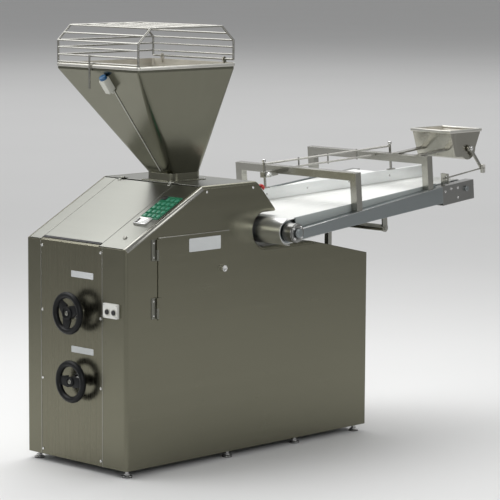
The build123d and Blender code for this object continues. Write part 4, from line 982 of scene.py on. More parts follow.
@dataclass
class BlankPlate:
    """A bare plate where a machine carries its signs."""

    width: float
    height: float
    thickness: float = 1.0
    corner: float = 3.0
    border: float = 2.2
    sunk: float = 0.3

    def build(self) -> Blank:
        """Plate with round corners and a low border, its lower left corner at the origin."""
        plate = Blank.box((0, 0, 0), (self.width, self.height, self.thickness))
        plate.corners(self.corner)
        plate.top(self.thickness).inset(self.border).extrude(0, 0, -self.sunk)
        return plate.soften(0.2, 2)


@dataclass
class Cabinet:
    """Slope trim, seam lips, screws, feet and bare sign plates of the cabinet."""

    screw_y: tuple[float, float] = (133.0, 450.0)
    screw_z: tuple[float, ...] = (48.0, 314.0, 568.0, 806.0)
    top_screw_x: tuple[float, float] = (400.0, 640.0)
    top_screw_z: float = 1006.0
    hinge_x: float = 133.0
    hinge_z: tuple[float, float] = (605.0, 816.0)
    hinge_half: float = 26.0
    hinge_plate: float = 2.0
    block_screws: tuple[tuple[float, float], ...] = ((850, 18), (885, 24), (925, 22), (925, -16))
    block_face: float = -160.0
    foot_x: tuple[float, ...] = (32.0, 540.0, 905.0, 1244.0)
    foot_y: tuple[float, float] = (31.0, 509.0)
    foot_radius: float = 20.0
    foot_pad: float = 9.0
    foot_sole: float = 4.0
    sole_back: float = 1.0
    sole_gap: float = 0.1
    dish_rise: float = 3.0
    foot_screw: float = 7.0
    screw_low: float = 7.0
    screw_high: float = 30.0
    foot_nut: float = 12.0
    nut_low: tuple[float, float] = (8.0, 21.0)
    nut_height: float = 6.0
    plate_y: float = 172.0
    plate_z: tuple[float, float] = (705.0, 429.0)
    plate_width: float = 119.0
    plate_height: float = 23.0
    seam_y: tuple[float, float] = (125.0, 458.0)
    seam_z: tuple[float, float] = (26.0, 822.0)
    seam_half: float = 1.3
    seam_rise: float = 0.9
    trim_low: Point = (3.0, -0.4, -15.0)
    trim_high: Point = (427.0, 15.2, 0.4)
    fold: float = 14.0

    def build(self) -> None:
        """Make the cabinet's small pieces."""
        self.trim()
        self.seams()
        self.screws()
        self.feet()
        for name, z in zip(("upper_front_plate", "lower_front_plate"), self.plate_z):
            plate = BlankPlate(self.plate_width, self.plate_height).build()
            plate.place(facing(at(0, self.plate_y + self.plate_width, z), OUT_FRONT))
            plate.finish(name, "root", LABEL_WHITE, Slot.WHITE)

    def trim(self) -> None:
        """Rounded strip along the fold between the slope and the near side."""
        trim = Blank.box(self.trim_low, self.trim_high)
        trim.pick(lambda c, along: abs(along.x) > FLAT and c.y < 0 < c.z, Kind.EDGE).bevel(self.fold, 6)
        trim.soften(0.2, 2).place(SLOPE).finish("near_slope_trim", "root", BAR_STEEL, Slot.SHEET)

    def seams(self) -> None:
        """Folded lips along both upright edges of the front panel."""
        bottom, top = self.seam_z
        lip = Blank.box((-self.seam_half, 0, -SUNK), (self.seam_half, top - bottom, self.seam_rise))
        lip.top(self.seam_rise).inset(0.6)
        places = [facing(at(0, y, bottom), OUT_FRONT) for y in self.seam_y]
        lip.soften(0.4, 2).spread(places)
        lip.finish("front_seam_lips", "root", BAR_STEEL, Slot.BAR)

    def screws(self) -> None:
        """Screw heads on the front, the side, the hinges and the conveyor's head blocks."""
        places = [facing(at(0, y, z), OUT_FRONT) for y in self.screw_y for z in self.screw_z]
        places += [facing(at(x, 0, self.top_screw_z), OUT_NEAR) for x in self.top_screw_x]
        places += [on_belt(u, self.block_face, w, OUT_NEAR) for u, w in self.block_screws]
        Fastener().drive("panel_screw_heads", "root", BRIGHT_STEEL, places, "panel_screws")
        places = [facing(at(self.hinge_x, -self.hinge_plate, z + side), OUT_NEAR)
                  for z in self.hinge_z for side in (-self.hinge_half, self.hinge_half)]
        Fastener(3.2, 1.6, 1.4, 0.8).drive("hinge_screw_heads", "root", BRIGHT_STEEL, places)

    def feet(self) -> None:
        """Rubber soles below steel dishes, and the dishes' screws with lock nuts."""
        places = [standing(x, y) for x in self.foot_x for y in self.foot_y]
        top, edge = self.foot_sole - self.sole_gap, self.foot_pad - self.dish_rise
        pad = Blank.disc(self.foot_radius - self.sole_back, 0.0, top, 40)
        pad.top(top).inset(6.0).extrude(0, 0, -1.0)
        pad.soften(0.8).spread(places)
        pad.finish("foot_pads", "root", FOOT_RUBBER, Slot.RUBBER, "levelling_feet")
        stem = Blank.disc(self.foot_screw, self.screw_low, self.screw_high, 24)
        stem.bottom().inset(1.5)
        nuts = [Blank.disc(self.foot_nut, low, low + self.nut_height, 6).soften(0.7, 2)
                for low in self.nut_low]
        dish = Blank.disc(self.foot_radius, self.foot_sole, edge, 40)
        dish.top(edge).inset(7.0).move(0, 0, self.dish_rise)
        stem.join(dish.soften(0.8, 2), *nuts).spread(places)
        stem.finish("foot_screws", "root", TURNED_STEEL, Slot.BAR)


@dataclass
class ControlStrip:
    """Dark strip that paints the shadow below the lid, keypad, counter whose upper end paints a reflection, lock
    and rocker switch on the front slope, in slope coordinates.
    """

    pad_low: tuple[float, float] = (198.0, 24.0)
    pad_high: tuple[float, float] = (345.0, 121.0)
    pad_thick: float = 1.4
    key: float = 15.0
    key_rise: float = 1.4
    key_corner: float = 3.5
    key_sunk: float = 0.3
    key_rows: int = 5
    key_columns: int = 4
    face: float = -0.5
    # The counter's upper end covers the keypad's lower end: a painted reflection of the glare on the film.
    counter_reflection_low: tuple[float, float] = (152.0, 44.0)
    counter_reflection_high: tuple[float, float] = (196.0, 108.0)
    counter_rise: float = 9.0
    lock: tuple[float, float] = (70.0, 71.0)
    lock_radius: float = 8.0
    lock_flange: float = 3.0
    lock_boss: float = 1.6
    rocker: tuple[float, float] = (331.0, 108.0)
    rocker_half: tuple[float, float] = (9.0, 12.0)
    rocker_frame: float = 5.0
    rocker_rise: float = 3.0
    rocker_tip: float = 2.4
    # Dark strip along the lid's lower edge: painted shade for the gap's shadow.
    shadow_strip_low: tuple[float, float] = (12.5, 146.0)
    shadow_strip_high: tuple[float, float] = (23.5, 460.0)
    shadow_strip_rise: float = 2.2

    def build(self) -> None:
        """Make the pieces on the strip and the dark strip that paints the shadow below the lid."""
        self.shadow_strip()
        self.keypad()
        self.counter_and_reflection()
        self.lock_and_rocker()

    def spot(self, u: float, y: float, z: float = 0.0) -> Matrix:
        """Frame on the strip's face, with X up the slope and Y to the far side."""
        return SLOPE @ shifted(u, y, self.face + z)

    def shadow_strip(self) -> None:
        """Dark rubber strip with a hollow lip along the lid's lower edge: painted shade for the shadow in the gap
        below the lid.
        """
        strip = Blank.box((*self.shadow_strip_low, -SUNK), (*self.shadow_strip_high, self.shadow_strip_rise))
        strip.top(self.shadow_strip_rise).inset(3.0).move(0, 0, -0.8)
        strip.soften(0.5, 2).place(self.spot(0, 0)).finish("lid_shadow_strip", "root", FOOT_RUBBER, Slot.RUBBER)

    def keypad(self) -> None:
        """Film plate and its raised keys."""
        width, height = (high - low for low, high in zip(self.pad_low, self.pad_high))
        plate = BlankPlate(width, height, self.pad_thick, 6.0, 3.0, 0.3).build()
        plate.place(self.spot(*self.pad_low)).finish("keypad_film", "root", KEYPAD_GREEN, Slot.WHITE)
        half = self.key / 2
        key = Blank.box((-half, -half, 0), (half, half, self.key_rise)).corners(self.key_corner)
        key.top(self.key_rise).inset(1.2).move(0, 0, 0.4)
        key.soften(0.3, 2)
        pitch_u, pitch_y = width / (self.key_rows + 0.6), height / (self.key_columns + 0.2)
        places = []
        for row in range(self.key_rows):
            for column in range(self.key_columns):
                u = self.pad_low[0] + (row + 0.8) * pitch_u
                y = self.pad_low[1] + (column + 0.6) * pitch_y
                if math.dist((u, y), self.rocker) > self.key:
                    places.append(self.spot(u, y, self.pad_thick - self.key_sunk))
        key.spread(places).finish("keypad_keys", "root", KEY_GREEN, Slot.WHITE)

    def counter_and_reflection(self) -> None:
        """Low bright housing below the keypad with a sunk window, reaching over the keypad's lower end as a
        painted reflection of the film's glare there.
        """
        length, width = (high - low for low, high in zip(self.counter_reflection_low, self.counter_reflection_high))
        case = Blank.box((0, 0, 0), (length, width, self.counter_rise))
        case.pick(lambda centre, normal: normal.x < -FLAT).move(2.5, 0, 0)
        case.top(self.counter_rise).inset(4.0).extrude(0, 0, -2.0)
        case.soften(1.0).place(self.spot(*self.counter_reflection_low))
        case.finish("strip_counter_and_reflection", "root", BRIGHT_STEEL, Slot.BAR)

    def lock_and_rocker(self) -> None:
        """Round lock at the strip's foot and a rocker switch at the keypad's head."""
        lock = Blank.disc(self.lock_radius, 0.0, self.lock_flange, 32)
        lock.top(self.lock_flange).inset(2.0).extrude(0, 0, self.lock_boss)
        lock.top(self.lock_flange + self.lock_boss).inset(2.4).extrude(0, 0, -0.8)
        lock.soften(0.5, 2).place(self.spot(*self.lock))
        lock.finish("strip_lock", "root", BAR_STEEL, Slot.BAR)
        half_u, half_y = self.rocker_half
        rocker = Blank.box((-half_u, -half_y, 0), (half_u, half_y, self.rocker_frame))
        rocker.top(self.rocker_frame).inset(3.0).extrude(0, 0, self.rocker_rise)
        top = self.rocker_frame + self.rocker_rise - TOUCH
        rocker.pick(lambda c, _: c.z > top and c.x > half_u / 2, Kind.EDGE).move(0, 0, -self.rocker_tip)
        rocker.soften(0.8).place(self.spot(*self.rocker))
        rocker.finish("strip_rocker", "root", KNOB_BLACK, Slot.BLACK)


@dataclass
class Handwheel:
    """A moulded handwheel: rim with finger grips, tapered spokes, sunk hub and its nut.

    The piece and the body that carries it have the same name.
    """

    name: str
    node: str
    joint: str
    spokes: int
    turn: float
    rim_radius: float = 66.0
    rim_tube: float = 12.0
    grips: int = 24
    grip_depth: float = 1.4
    grip_slope: float = 0.35
    spoke_half: float = 18.0
    spoke_thick: float = 4.0
    spoke_sunk: float = 6.0
    spoke_short: float = 2.0
    spoke_tip: Point = (1.0, 0.78, 0.8)
    spoke_root: Point = (1.0, 1.25, 1.0)
    hub_radius: float = 19.0
    hub_out: float = 8.0
    hub_in: float = -22.0
    hub_step: float = 8.0
    hub_sunk: float = 4.0
    nut_radius: float = 8.5
    nut_rise: float = 0.5

    def build(self) -> None:
        """Make the wheel and its nut."""
        place = facing(pivot(self.joint), OUT_FRONT)
        wheel = self.rim().join(self.hub(), self.arms())
        wheel.place(place).finish(self.name, self.name, WHEEL_BLACK, Slot.BLACK, self.node)
        top = self.hub_out + self.nut_rise
        nut = Blank.disc(self.nut_radius, self.hub_out - self.hub_sunk, top, 6)
        nut.top(top).inset(3.0).extrude(0, 0, self.nut_rise)
        nut.soften(0.5, 2).place(place)
        nut.finish(self.name + "_nut", self.name, HINGE_STEEL, Slot.BAR)

    def rim(self) -> Blank:
        """Round rim whose back is waved for the fingers, with a hollow in every second stave."""
        rim = Blank.ring(self.rim_radius, self.rim_tube, 4 * self.grips, 24)
        rim.pick(lambda c, normal: normal.z < -self.grip_slope and stave(c, 2 * self.grips) % 2 == 0)
        return rim.move(0, 0, self.grip_depth)

    def hub(self) -> Blank:
        """Hub with a sunk face and a stepped back."""
        hub = Blank.disc(self.hub_radius, self.hub_in + self.hub_step, self.hub_out, 48)
        hub.top(self.hub_out).inset(5.0).extrude(0, 0, -self.hub_sunk)
        hub.bottom().inset(4.0).extrude(0, 0, -self.hub_step)
        return hub.soften(1.4)

    def arms(self) -> Blank:
        """Spokes that narrow towards the rim."""
        inner, outer = self.hub_radius - self.spoke_sunk, self.rim_radius - self.spoke_short
        arm = Blank.box((inner, -self.spoke_half, -self.spoke_thick),
                        (outer, self.spoke_half, self.spoke_thick))
        arm.pick(lambda _, normal: normal.x > FLAT).resize(self.spoke_tip, (outer, 0, 0))
        arm.pick(lambda _, normal: normal.x < -FLAT).resize(self.spoke_root, (inner, 0, 0))
        arm.soften(2.2)
        return arm.repeat([turned(self.turn + i * 360.0 / self.spokes) for i in range(self.spokes)])


@dataclass
class PushButtons:
    """Start and stop caps with their bezels and case screws, and the emergency mushroom."""

    buttons: tuple[tuple[str, float], ...] = (("stop_button", 52.0), ("start_button", 86.0))
    height: float = 599.5
    face: float = -10.0
    cap_radius: float = 9.0
    cap_out: float = 6.0
    cap_in: float = -3.5
    bezel_radius: float = 13.0
    bezel_hole: float = 9.5
    bezel_rise: float = 2.4
    case_screw_y: tuple[float, float] = (40.5, 105.5)
    case_screw_z: tuple[float, float] = (582.5, 624.5)
    stop_foot: Point = (699.15, 32.0, 983.6)
    stop_radius: float = 14.0
    stop_top: float = 32.0
    stop_under: float = 20.0
    stem_radius: float = 9.0
    stem_low: float = 8.0

    def build(self) -> None:
        """Make caps, bezels, case screws and the mushroom."""
        for node, y in self.buttons:
            place = facing(at(self.face, y, self.height), OUT_FRONT)
            cap = Blank.disc(self.cap_radius, self.cap_in, self.cap_out, 36)
            cap.top(self.cap_out).inset(2.2).extrude(0, 0, -1.0)
            cap.soften(0.9).place(place)
            cap.finish(node + "_cap", node, KNOB_BLACK, Slot.BLACK, node)
            bezel = Blank.disc(self.bezel_radius, 0.0, self.bezel_rise, 40)
            bezel.bore(self.bezel_radius - self.bezel_hole).soften(0.6, 2).place(place)
            bezel.finish(node + "_bezel", "root", CASE_GREY, Slot.WHITE)
        places = [facing(at(self.face, y, z), OUT_FRONT)
                  for y in self.case_screw_y for z in self.case_screw_z]
        Fastener(2.6, 1.2, 1.1, 0.6).drive("button_case_screws", "root", BRIGHT_STEEL, places)
        self.mushroom()

    def mushroom(self) -> None:
        """Domed red head on its stem."""
        out = -Vector(JOINTS["emergency_stop_press"]["axis"])
        head = Blank.disc(self.stop_radius, self.stop_under, self.stop_top, 48)
        head.dome(self.stop_radius, self.stop_top, 6.0, 6)
        head.bottom().inset(3.0).extrude(0, 0, 2.0)
        stem = Blank.disc(self.stem_radius, self.stem_low, self.stop_under + 3.0, 28)
        stem.bottom().inset(1.5).extrude(0, 0, 1.0)
        head.join(stem).place(facing(at(*self.stop_foot), out, ALONG_Y))
        head.finish("emergency_mushroom", "emergency_stop", STOP_RED, Slot.RED, "emergency_stop")


@dataclass
class SideDoor:
    """The lip on the door's top edge, its turn knob with the cam, and its bare sign plate."""

    face: float = -3.3
    knob_radius: float = 12.0
    knob_out: float = 13.0
    knob_staves: int = 24
    stem_radius: float = 6.0
    stem_in: float = -8.6
    cam_half: float = 7.0
    cam_reach: float = 30.0
    cam_thick: float = 3.0
    plate_x: float = 308.0
    plate_z: float = 794.0
    plate_width: float = 161.0
    plate_height: float = 49.0
    lip_x: tuple[float, float] = (157.0, 513.0)
    lip_z: tuple[float, float] = (856.6, 859.4)
    lip_rise: float = 0.9

    def build(self) -> None:
        """Make the lip, the knob and the plate."""
        self.lip()
        self.knob()
        plate = BlankPlate(self.plate_width, self.plate_height, 1.0, 4.0, 3.0, 0.3).build()
        plate.place(facing(at(self.plate_x, self.face, self.plate_z), OUT_NEAR))
        plate.finish("door_plate", "door", LABEL_WHITE, Slot.WHITE)

    def lip(self) -> None:
        """Folded lip along the door's top edge."""
        size = (self.lip_x[1] - self.lip_x[0], self.lip_z[1] - self.lip_z[0], self.lip_rise)
        lip = Blank.box((0, 0, -SUNK), size)
        lip.top(self.lip_rise).inset(0.7)
        lip.soften(0.4, 2).place(facing(at(self.lip_x[0], self.face, self.lip_z[0]), OUT_NEAR))
        lip.finish("door_top_lip", "door", BAR_STEEL, Slot.BAR)

    def knob(self) -> None:
        """Fluted knob on a stem that turns the cam behind the door."""
        knob = Blank.disc(self.knob_radius, 0.0, self.knob_out, 2 * self.knob_staves)
        knob.pick(lambda c, normal: abs(normal.z) < LEVEL and stave(c, self.knob_staves) % 2 == 0)
        knob.inset(0.4).resize(FLUTE)
        knob.top(self.knob_out).inset(3.5).extrude(0, 0, -1.2)
        knob.soften(0.5, 2, 50.0)
        stem = Blank.disc(self.stem_radius, self.stem_in, 0.5, 28)
        cam = Blank.box((-self.cam_half, -self.cam_half, self.stem_in),
                        (self.cam_half, self.cam_reach, self.stem_in + self.cam_thick))
        knob.join(stem, cam.corners(4.0)).place(facing(beside("door_knob_turn", self.face), OUT_NEAR))
        knob.finish("door_turn_knob", "door_knob", BRIGHT_STEEL, Slot.BAR, "door_knob")


@dataclass
class HopperTop:
    """Bead round the hopper's rim, the guard switch with its lead, and the neck's bolts."""

    rim_x: float = 107.0
    rim_z: float = 1446.0
    neck_x: float = 400.0
    neck_z: float = 1058.0
    switch_y: float = 236.0
    case_from: float = 24.0
    case_to: float = 82.0
    case_half: float = 14.0
    case_rise: float = 30.0
    case_line: float = 1.0
    gland_radius: float = 6.5
    gland_long: float = 9.0
    gland_tail: float = 4.0
    gland_rise: float = 9.0
    cap_radius: float = 14.0
    cap_from: float = 12.0
    lead_gap: float = 10.0
    lead_to: float = 474.0
    lead_radius: float = 1.7
    bead_low: Point = (103.5, 44.5, 1455.0)
    bead_high: Point = (596.5, 493.5, 1467.4)
    bead_corner: float = 17.5
    bead_wide: float = 4.0
    flange_top: float = 1030.5
    bolt_x: tuple[float, float, float] = (395.5, 483.0, 570.5)
    bolt_y: tuple[float, float, float] = (185.5, 260.0, 334.5)

    def build(self) -> None:
        """Make the rim's bead, the switch, the lead and the bolts."""
        bead = Blank.box(self.bead_low, self.bead_high)
        bead.corners(self.bead_corner, 6).bore(self.bead_wide).soften(1.8).place(standing())
        bead.finish("hopper_rim_bead", "root", RIM_STEEL, Slot.BAR)
        fall = Vector((self.neck_x - self.rim_x, 0, self.neck_z - self.rim_z)).normalized()
        out = Vector((fall.z, 0, -fall.x))
        place = facing(at(self.rim_x, self.switch_y, self.rim_z), out, -fall)
        self.switch(place)
        middle = (self.bolt_x[1], self.bolt_y[1])
        places = [standing(x, y, self.flange_top)
                  for x in self.bolt_x for y in self.bolt_y if (x, y) != middle]
        Fastener(2.6, 1.6, 1.2, 0.8).drive("neck_bolts", "root", BRIGHT_STEEL, places)

    def switch(self, place: Matrix) -> None:
        """Case with a cover line and a gland, domed cap, and the straight lead below.

        Args:
            place: Frame on the hopper's front sheet, whose Y runs up the sheet.
        """
        half, rise, line = self.case_half, self.case_rise, self.case_line
        down, up = (Matrix.Rotation(turn, 4, "X") for turn in (QUARTER, -QUARTER))
        case = Blank.box((-half, -self.case_to, 0), (half, -self.case_from, rise)).corners(4.0)
        case.top(rise).inset(0.8).extrude(0, 0, -line)
        case.top(rise - line).inset(0.8).extrude(0, 0, line)
        case.soften(0.6, 2)
        gland = Blank.disc(self.gland_radius, 0.0, self.gland_long, 6)
        gland.top(self.gland_long).inset(2.0).extrude(0, 0, self.gland_tail)
        gland.soften(0.6, 2).lay(Matrix.Translation((0, 0.5 - self.case_to, self.gland_rise)) @ down)
        case.join(gland).place(place)
        case.finish("guard_switch_case", "root", CASE_GREY, Slot.WHITE, "safety_switch")
        length = self.case_from - self.cap_from
        cap = Blank.disc(self.cap_radius, -0.5, length, 36)
        cap.dome(self.cap_radius, length, 4.5, 5)
        cap.lay(Matrix.Translation((0, -self.case_from, rise / 2)) @ up)
        cap.place(place).finish("guard_switch_cap", "root", CAP_BLUE, Slot.BLUE)
        start = self.case_to + self.lead_gap
        lead = Blank.disc(self.lead_radius, 0.0, self.lead_to - start, 20)
        lead.top(self.lead_to - start).inset(0.6).move(0, 0, 0.4)
        lead.lay(Matrix.Translation((0, -start, self.lead_radius + 0.1)) @ down)
        lead.place(place).finish("guard_switch_lead", "root", CASE_GREY, Slot.WHITE)


@dataclass
class Conveyor:
    """Bright strips on the rail edges that paint their highlight, strips along the belt, bearing caps, rounding
    board with screws, clamp knobs and rod caps.
    """

    near_face: float = -158.0
    far_face: float = 484.0
    cap_radius: float = 33.0
    cap_rise: float = 4.0
    cap_hole: float = 19.0
    bolt_circle: float = 26.0
    rod1: tuple[float, float] = (274.0, 262.0)
    rod2: tuple[float, float] = (826.0, 98.0)
    board_tail: float = 50.0
    board_head: float = 160.0
    board_half: float = 6.0
    board_low: float = 47.0
    board_high: float = 92.0
    board_screws: tuple[float, ...] = (2.0, 184.0, 375.0, 565.0)
    clamp_w: float = 146.0
    clamp_gap: float = 16.0
    knob_radius: float = 11.0
    knob_length: float = 16.0
    knob_staves: int = 36
    knob_draw: Point = (0.84, 0.84, 1.0)
    pin_radius: float = 4.0
    pin_end: float = 6.5
    rod_cap: float = 8.0
    rod_cap_low: float = 194.0
    rod_cap_high: float = 205.0
    rail_from: float = 32.0
    rail_to: float = 833.0
    strip_low: float = 8.0
    strip_high: float = 50.0
    strips: tuple[tuple[str, float], ...] = (("near_rail_strip", -125.3), ("far_rail_strip", 449.7))
    strip_thick: float = 1.6
    ledge: tuple[float, float] = (12.1, 39.9)
    # Bright steel strips on the rails' outer edges: a painted highlight along those edges.
    edges: tuple[tuple[str, float], ...] = (("near_rail_highlight_strip", -160.0), ("far_rail_highlight_strip", 483.0))
    edge_wide: float = 3.0
    edge_rise: float = 0.6

    def build(self) -> None:
        """Make the conveyor's pieces."""
        self.rails()
        self.bearing("near_bearing", on_belt(0, self.near_face, 0, OUT_NEAR))
        self.bearing("far_bearing", on_belt(0, self.far_face, 0, OUT_FAR))
        self.board()
        for end, (u, y) in zip(("tail", "head"), (self.rod1, self.rod2)):
            self.clamp(end + "_clamp", on_belt(u, y - self.clamp_gap, self.clamp_w, OUT_NEAR))
        cap = Blank.disc(self.rod_cap, self.rod_cap_low, self.rod_cap_high, 28)
        cap.top(self.rod_cap_high).inset(3.0).move(0, 0, 1.0)
        cap.soften(1.5).spread([BELT @ shifted(*rod) for rod in (self.rod1, self.rod2)])
        cap.finish("guide_rod_caps", "guide", BRIGHT_STEEL, Slot.BAR)

    def rails(self) -> None:
        """Bright steel strips on both rails' outer edges, a painted highlight along them, and the strips along the
        belt.
        """
        low, high = self.ledge
        run = self.rail_to - self.rail_from
        length = math.hypot(run, high - low)
        tilt = Matrix.Rotation(-math.atan2(high - low, run), 4, "Y")
        for name, y in self.edges:
            edge = Blank.box((0, y, -self.edge_wide), (length, y + self.edge_wide, self.edge_rise))
            edge.soften(1.2).lay(Matrix.Translation((self.rail_from, 0, low)) @ tilt)
            edge.place(BELT).finish(name, "root", BRIGHT_STEEL, Slot.BAR)
        for name, y in self.strips:
            strip = Blank.box((self.rail_from, y, self.strip_low),
                              (self.rail_to, y + self.strip_thick, self.strip_high))
            strip.soften(0.5, 2).place(BELT).finish(name, "root", STRIP_GREY, Slot.WHITE)

    def bearing(self, name: str, place: Matrix) -> None:
        """Bolted ring round a tail shaft.

        Args:
            name: The bearing's name.
            place: Frame on the housing's outer face.
        """
        ring = Blank.disc(self.cap_radius, 0.0, self.cap_rise, 56).bore(self.cap_radius - self.cap_hole)
        ring.soften(1.2).place(place).finish(name + "_cap", "root", BLOCK_ALLOY, Slot.ALLOY)
        seat = Matrix.Translation((self.bolt_circle, 0, self.cap_rise))
        bolts = Fastener(4.0, 2.6).hex_head().repeat([turned(45 + 90 * i) @ seat for i in range(4)])
        bolts.place(place)
        bolts.finish(name + "_bolts", "root", BRIGHT_STEEL, Slot.BAR)

    def board(self) -> None:
        """White board with rounded edges and sunk screws on its working face."""
        du, dy = (second - first for first, second in zip(self.rod1, self.rod2))
        span = math.hypot(du, dy)
        place = BELT @ shifted(*self.rod1) @ Matrix.Rotation(math.atan2(dy, du), 4, "Z")
        board = Blank.box((-self.board_tail, -self.board_half, self.board_low),
                          (span + self.board_head, self.board_half, self.board_high))
        board.corners(4.0).soften(1.4).place(place)
        board.finish("rounding_board", "guide", BOARD_WHITE, Slot.WHITE, "guide_board")
        middle = (self.board_low + self.board_high) / 2
        places = [place @ facing(Vector((u, -self.board_half, middle)) * MM, OUT_NEAR)
                  for u in self.board_screws]
        Fastener(4.0, 1.0, 2.0, 0.6).drive("board_screws", "guide", TURNED_STEEL, places)

    def clamp(self, body: str, place: Matrix) -> None:
        """Lobed knob on its clamping pin, with two staves in every six drawn in.

        Args:
            body: The body that carries it.
            place: Frame at the knob's inner face.
        """
        knob = Blank.disc(self.knob_radius, 0.0, self.knob_length, self.knob_staves)
        knob.pick(lambda c, normal: abs(normal.z) < LEVEL and stave(c, self.knob_staves) % 6 < 2)
        knob.resize(self.knob_draw)
        knob.top(self.knob_length).inset(3.0).extrude(0, 0, -1.5)
        knob.soften(0.8, 2, 50.0)
        pin = Blank.disc(self.pin_radius, self.pin_end - self.clamp_gap, 0.5, 20)
        pin.bottom().inset(1.0).move(0, 0, -0.2)
        knob.join(pin).place(place).finish(body + "_grip", body, BRIGHT_STEEL, Slot.BAR, body + "_knob")


@dataclass
class Duster:
    """Block on the link's end, rolled rim of the flour box, and the brush roller with its nut."""

    x0: float = 1592.0
    x1: float = 1784.0
    y0: float = -150.0
    y1: float = 46.0
    rim_z: float = 1172.0
    rim_out: float = 5.0
    rim_wide: float = 6.5
    rim_drop: float = 9.0
    rim_rise: float = 3.0
    brush_radius: float = 40.0
    core_radius: float = 24.0
    shaft_radius: float = 6.0
    shaft_from: float = -164.0
    shaft_to: float = 54.0
    brush_from: float = -147.0
    brush_to: float = 43.0
    rows: int = 14
    tufts: int = 24
    tuft_root: float = 3.0
    tuft_tip: float = 4.2
    tuft_sunk: float = 2.0
    tuft_margin: float = 5.0
    tuft_twist: float = 1.5
    nut_radius: float = 9.5
    nut_rise: float = 6.0
    pin_offset: tuple[float, float] = (70.0, -82.0)
    block_y: tuple[float, float] = (-175.5, -165.2)
    block_half: float = 9.0
    block_reach: tuple[float, float] = (-20.0, 14.0)

    def build(self) -> None:
        """Make the block, the rim, the brush and its nut."""
        self.link_block()
        rim = Blank.box((self.x0 - self.rim_out, self.y0 - self.rim_out, self.rim_z - self.rim_drop),
                        (self.x1, self.y1 + self.rim_out, self.rim_z + self.rim_rise))
        rim.bore(self.rim_wide).soften(1.8).place(standing())
        rim.finish("flour_box_rim", "root", RIM_STEEL, Slot.BAR)
        self.brush()
        nut = Blank.disc(self.nut_radius, 0.0, self.nut_rise, 6)
        nut.top(self.nut_rise).inset(3.0).extrude(0, 0, 2.0)
        nut.soften(0.6, 2).place(facing(beside("brush_turn", self.shaft_from), OUT_NEAR))
        nut.finish("brush_shaft_nut", "duster_drive", BRIGHT_STEEL, Slot.BAR)

    def link_block(self) -> None:
        """Block with a sunk face that holds the link's end on the lever's pin."""
        outer, inner = self.block_y
        low, high = self.block_reach
        block = Blank.box((-self.block_half, low, 0), (self.block_half, high, inner - outer)).corners(3.0)
        block.top(inner - outer).inset(2.0).extrude(0, 0, -0.6)
        pin = beside("brush_turn", inner) + Vector((self.pin_offset[0], 0, self.pin_offset[1])) * MM
        block.soften(0.6, 2).place(facing(pin, OUT_NEAR))
        block.finish("link_end_block", "duster_link", RIM_STEEL, Slot.BAR)

    def brush(self) -> None:
        """Core on a shaft, with rows of tufts wound round it."""
        core = Blank.disc(self.core_radius, self.brush_from, self.brush_to, 40).soften(2.0)
        shaft = Blank.disc(self.shaft_radius, self.shaft_from, self.shaft_to, 24).soften(0.8, 2)
        core.join(shaft)
        root = self.core_radius - self.tuft_sunk
        tuft = Blank.cone(self.tuft_root, self.tuft_tip, root, self.brush_radius, 5)
        tuft.top(self.brush_radius).inset(1.0).move(0, 0, -1.5)
        tuft.lay(Matrix.Rotation(QUARTER, 4, "Y"))
        first = self.brush_from + self.tuft_margin
        pitch = (self.brush_to - self.tuft_margin - first) / self.tufts
        places = []
        for row in range(self.rows):
            for index in range(self.tufts):
                height = first + (index + (row % 2) / 2 + 0.25) * pitch
                twist = 360.0 * row / self.rows + self.tuft_twist * index
                places.append(turned(twist) @ Matrix.Translation((0, 0, height)))
        core.join(tuft.repeat(places)).place(facing(beside("brush_turn", 0.0), OUT_FAR))
        core.finish("duster_brush", "duster_drive", BRUSH_HAIR, Slot.BRUSH, "brush_roller")


@dataclass
class MachineRoom:
    """Cooling fins and the filler cap behind the door."""

    pump: tuple[float, float] = (340.0, 346.0)
    pump_from: float = 335.0
    pump_to: float = 545.0
    pump_radius: float = 66.0
    fin_rise: float = 6.0
    fin_half: float = 1.4
    fins: int = 30
    fin_tip: Point = (1.0, 0.55, 0.97)
    cap: tuple[float, float] = (200.0, 130.0)
    cap_radius: float = 24.0
    cap_rise: float = 16.0
    cap_staves: int = 40
    tank_top: float = 266.0

    def build(self) -> None:
        """Make the fins and the cap."""
        length = self.pump_to - self.pump_from
        fin = Blank.box((self.pump_radius - 2.0, -self.fin_half, 0),
                        (self.pump_radius + self.fin_rise, self.fin_half, length))
        fin.pick(lambda _, normal: normal.x > FLAT).resize(self.fin_tip, (0, 0, length / 2))
        fin.repeat([turned(i * 360.0 / self.fins) for i in range(self.fins)])
        fin.place(facing(at(self.pump_from, *self.pump), OUT_BACK))
        fin.finish("pump_motor_fins", "root", MOTOR_PAINT, Slot.MOTOR)
        cap = Blank.disc(self.cap_radius, 0.0, self.cap_rise, self.cap_staves)
        cap.pick(lambda c, normal: abs(normal.z) < LEVEL and stave(c, self.cap_staves) % 2 == 0)
        cap.inset(0.4).resize(FLUTE)
        cap.top(self.cap_rise).inset(5.0).extrude(0, 0, -2.0)
        cap.soften(0.8, 2, 50.0).place(standing(*self.cap, self.tank_top))
        cap.finish("tank_filler_cap", "root", KNOB_BLACK, Slot.BLACK)


@dataclass(frozen=True)
class Softbox:
    """A large soft lamp: its name, its place and what it points at in metres, its size and its power."""

    name: str
    place: Point
    target: Point
    size: tuple[float, float]
    watts: float

    def hang(self) -> None:
        """Add the lamp."""
        data = bpy.data.lights.new(self.name, "AREA")
        data.shape = "RECTANGLE"
        data.size, data.size_y = self.size
        data.energy = self.watts
        lamp = bpy.data.objects.new(self.name, data)
        lamp.location = self.place
        aim = Vector(self.target) - Vector(self.place)
        lamp.rotation_euler = aim.to_track_quat("-Z", "Y").to_euler()
        lamp.visible_camera = False
        bpy.context.scene.collection.objects.link(lamp)


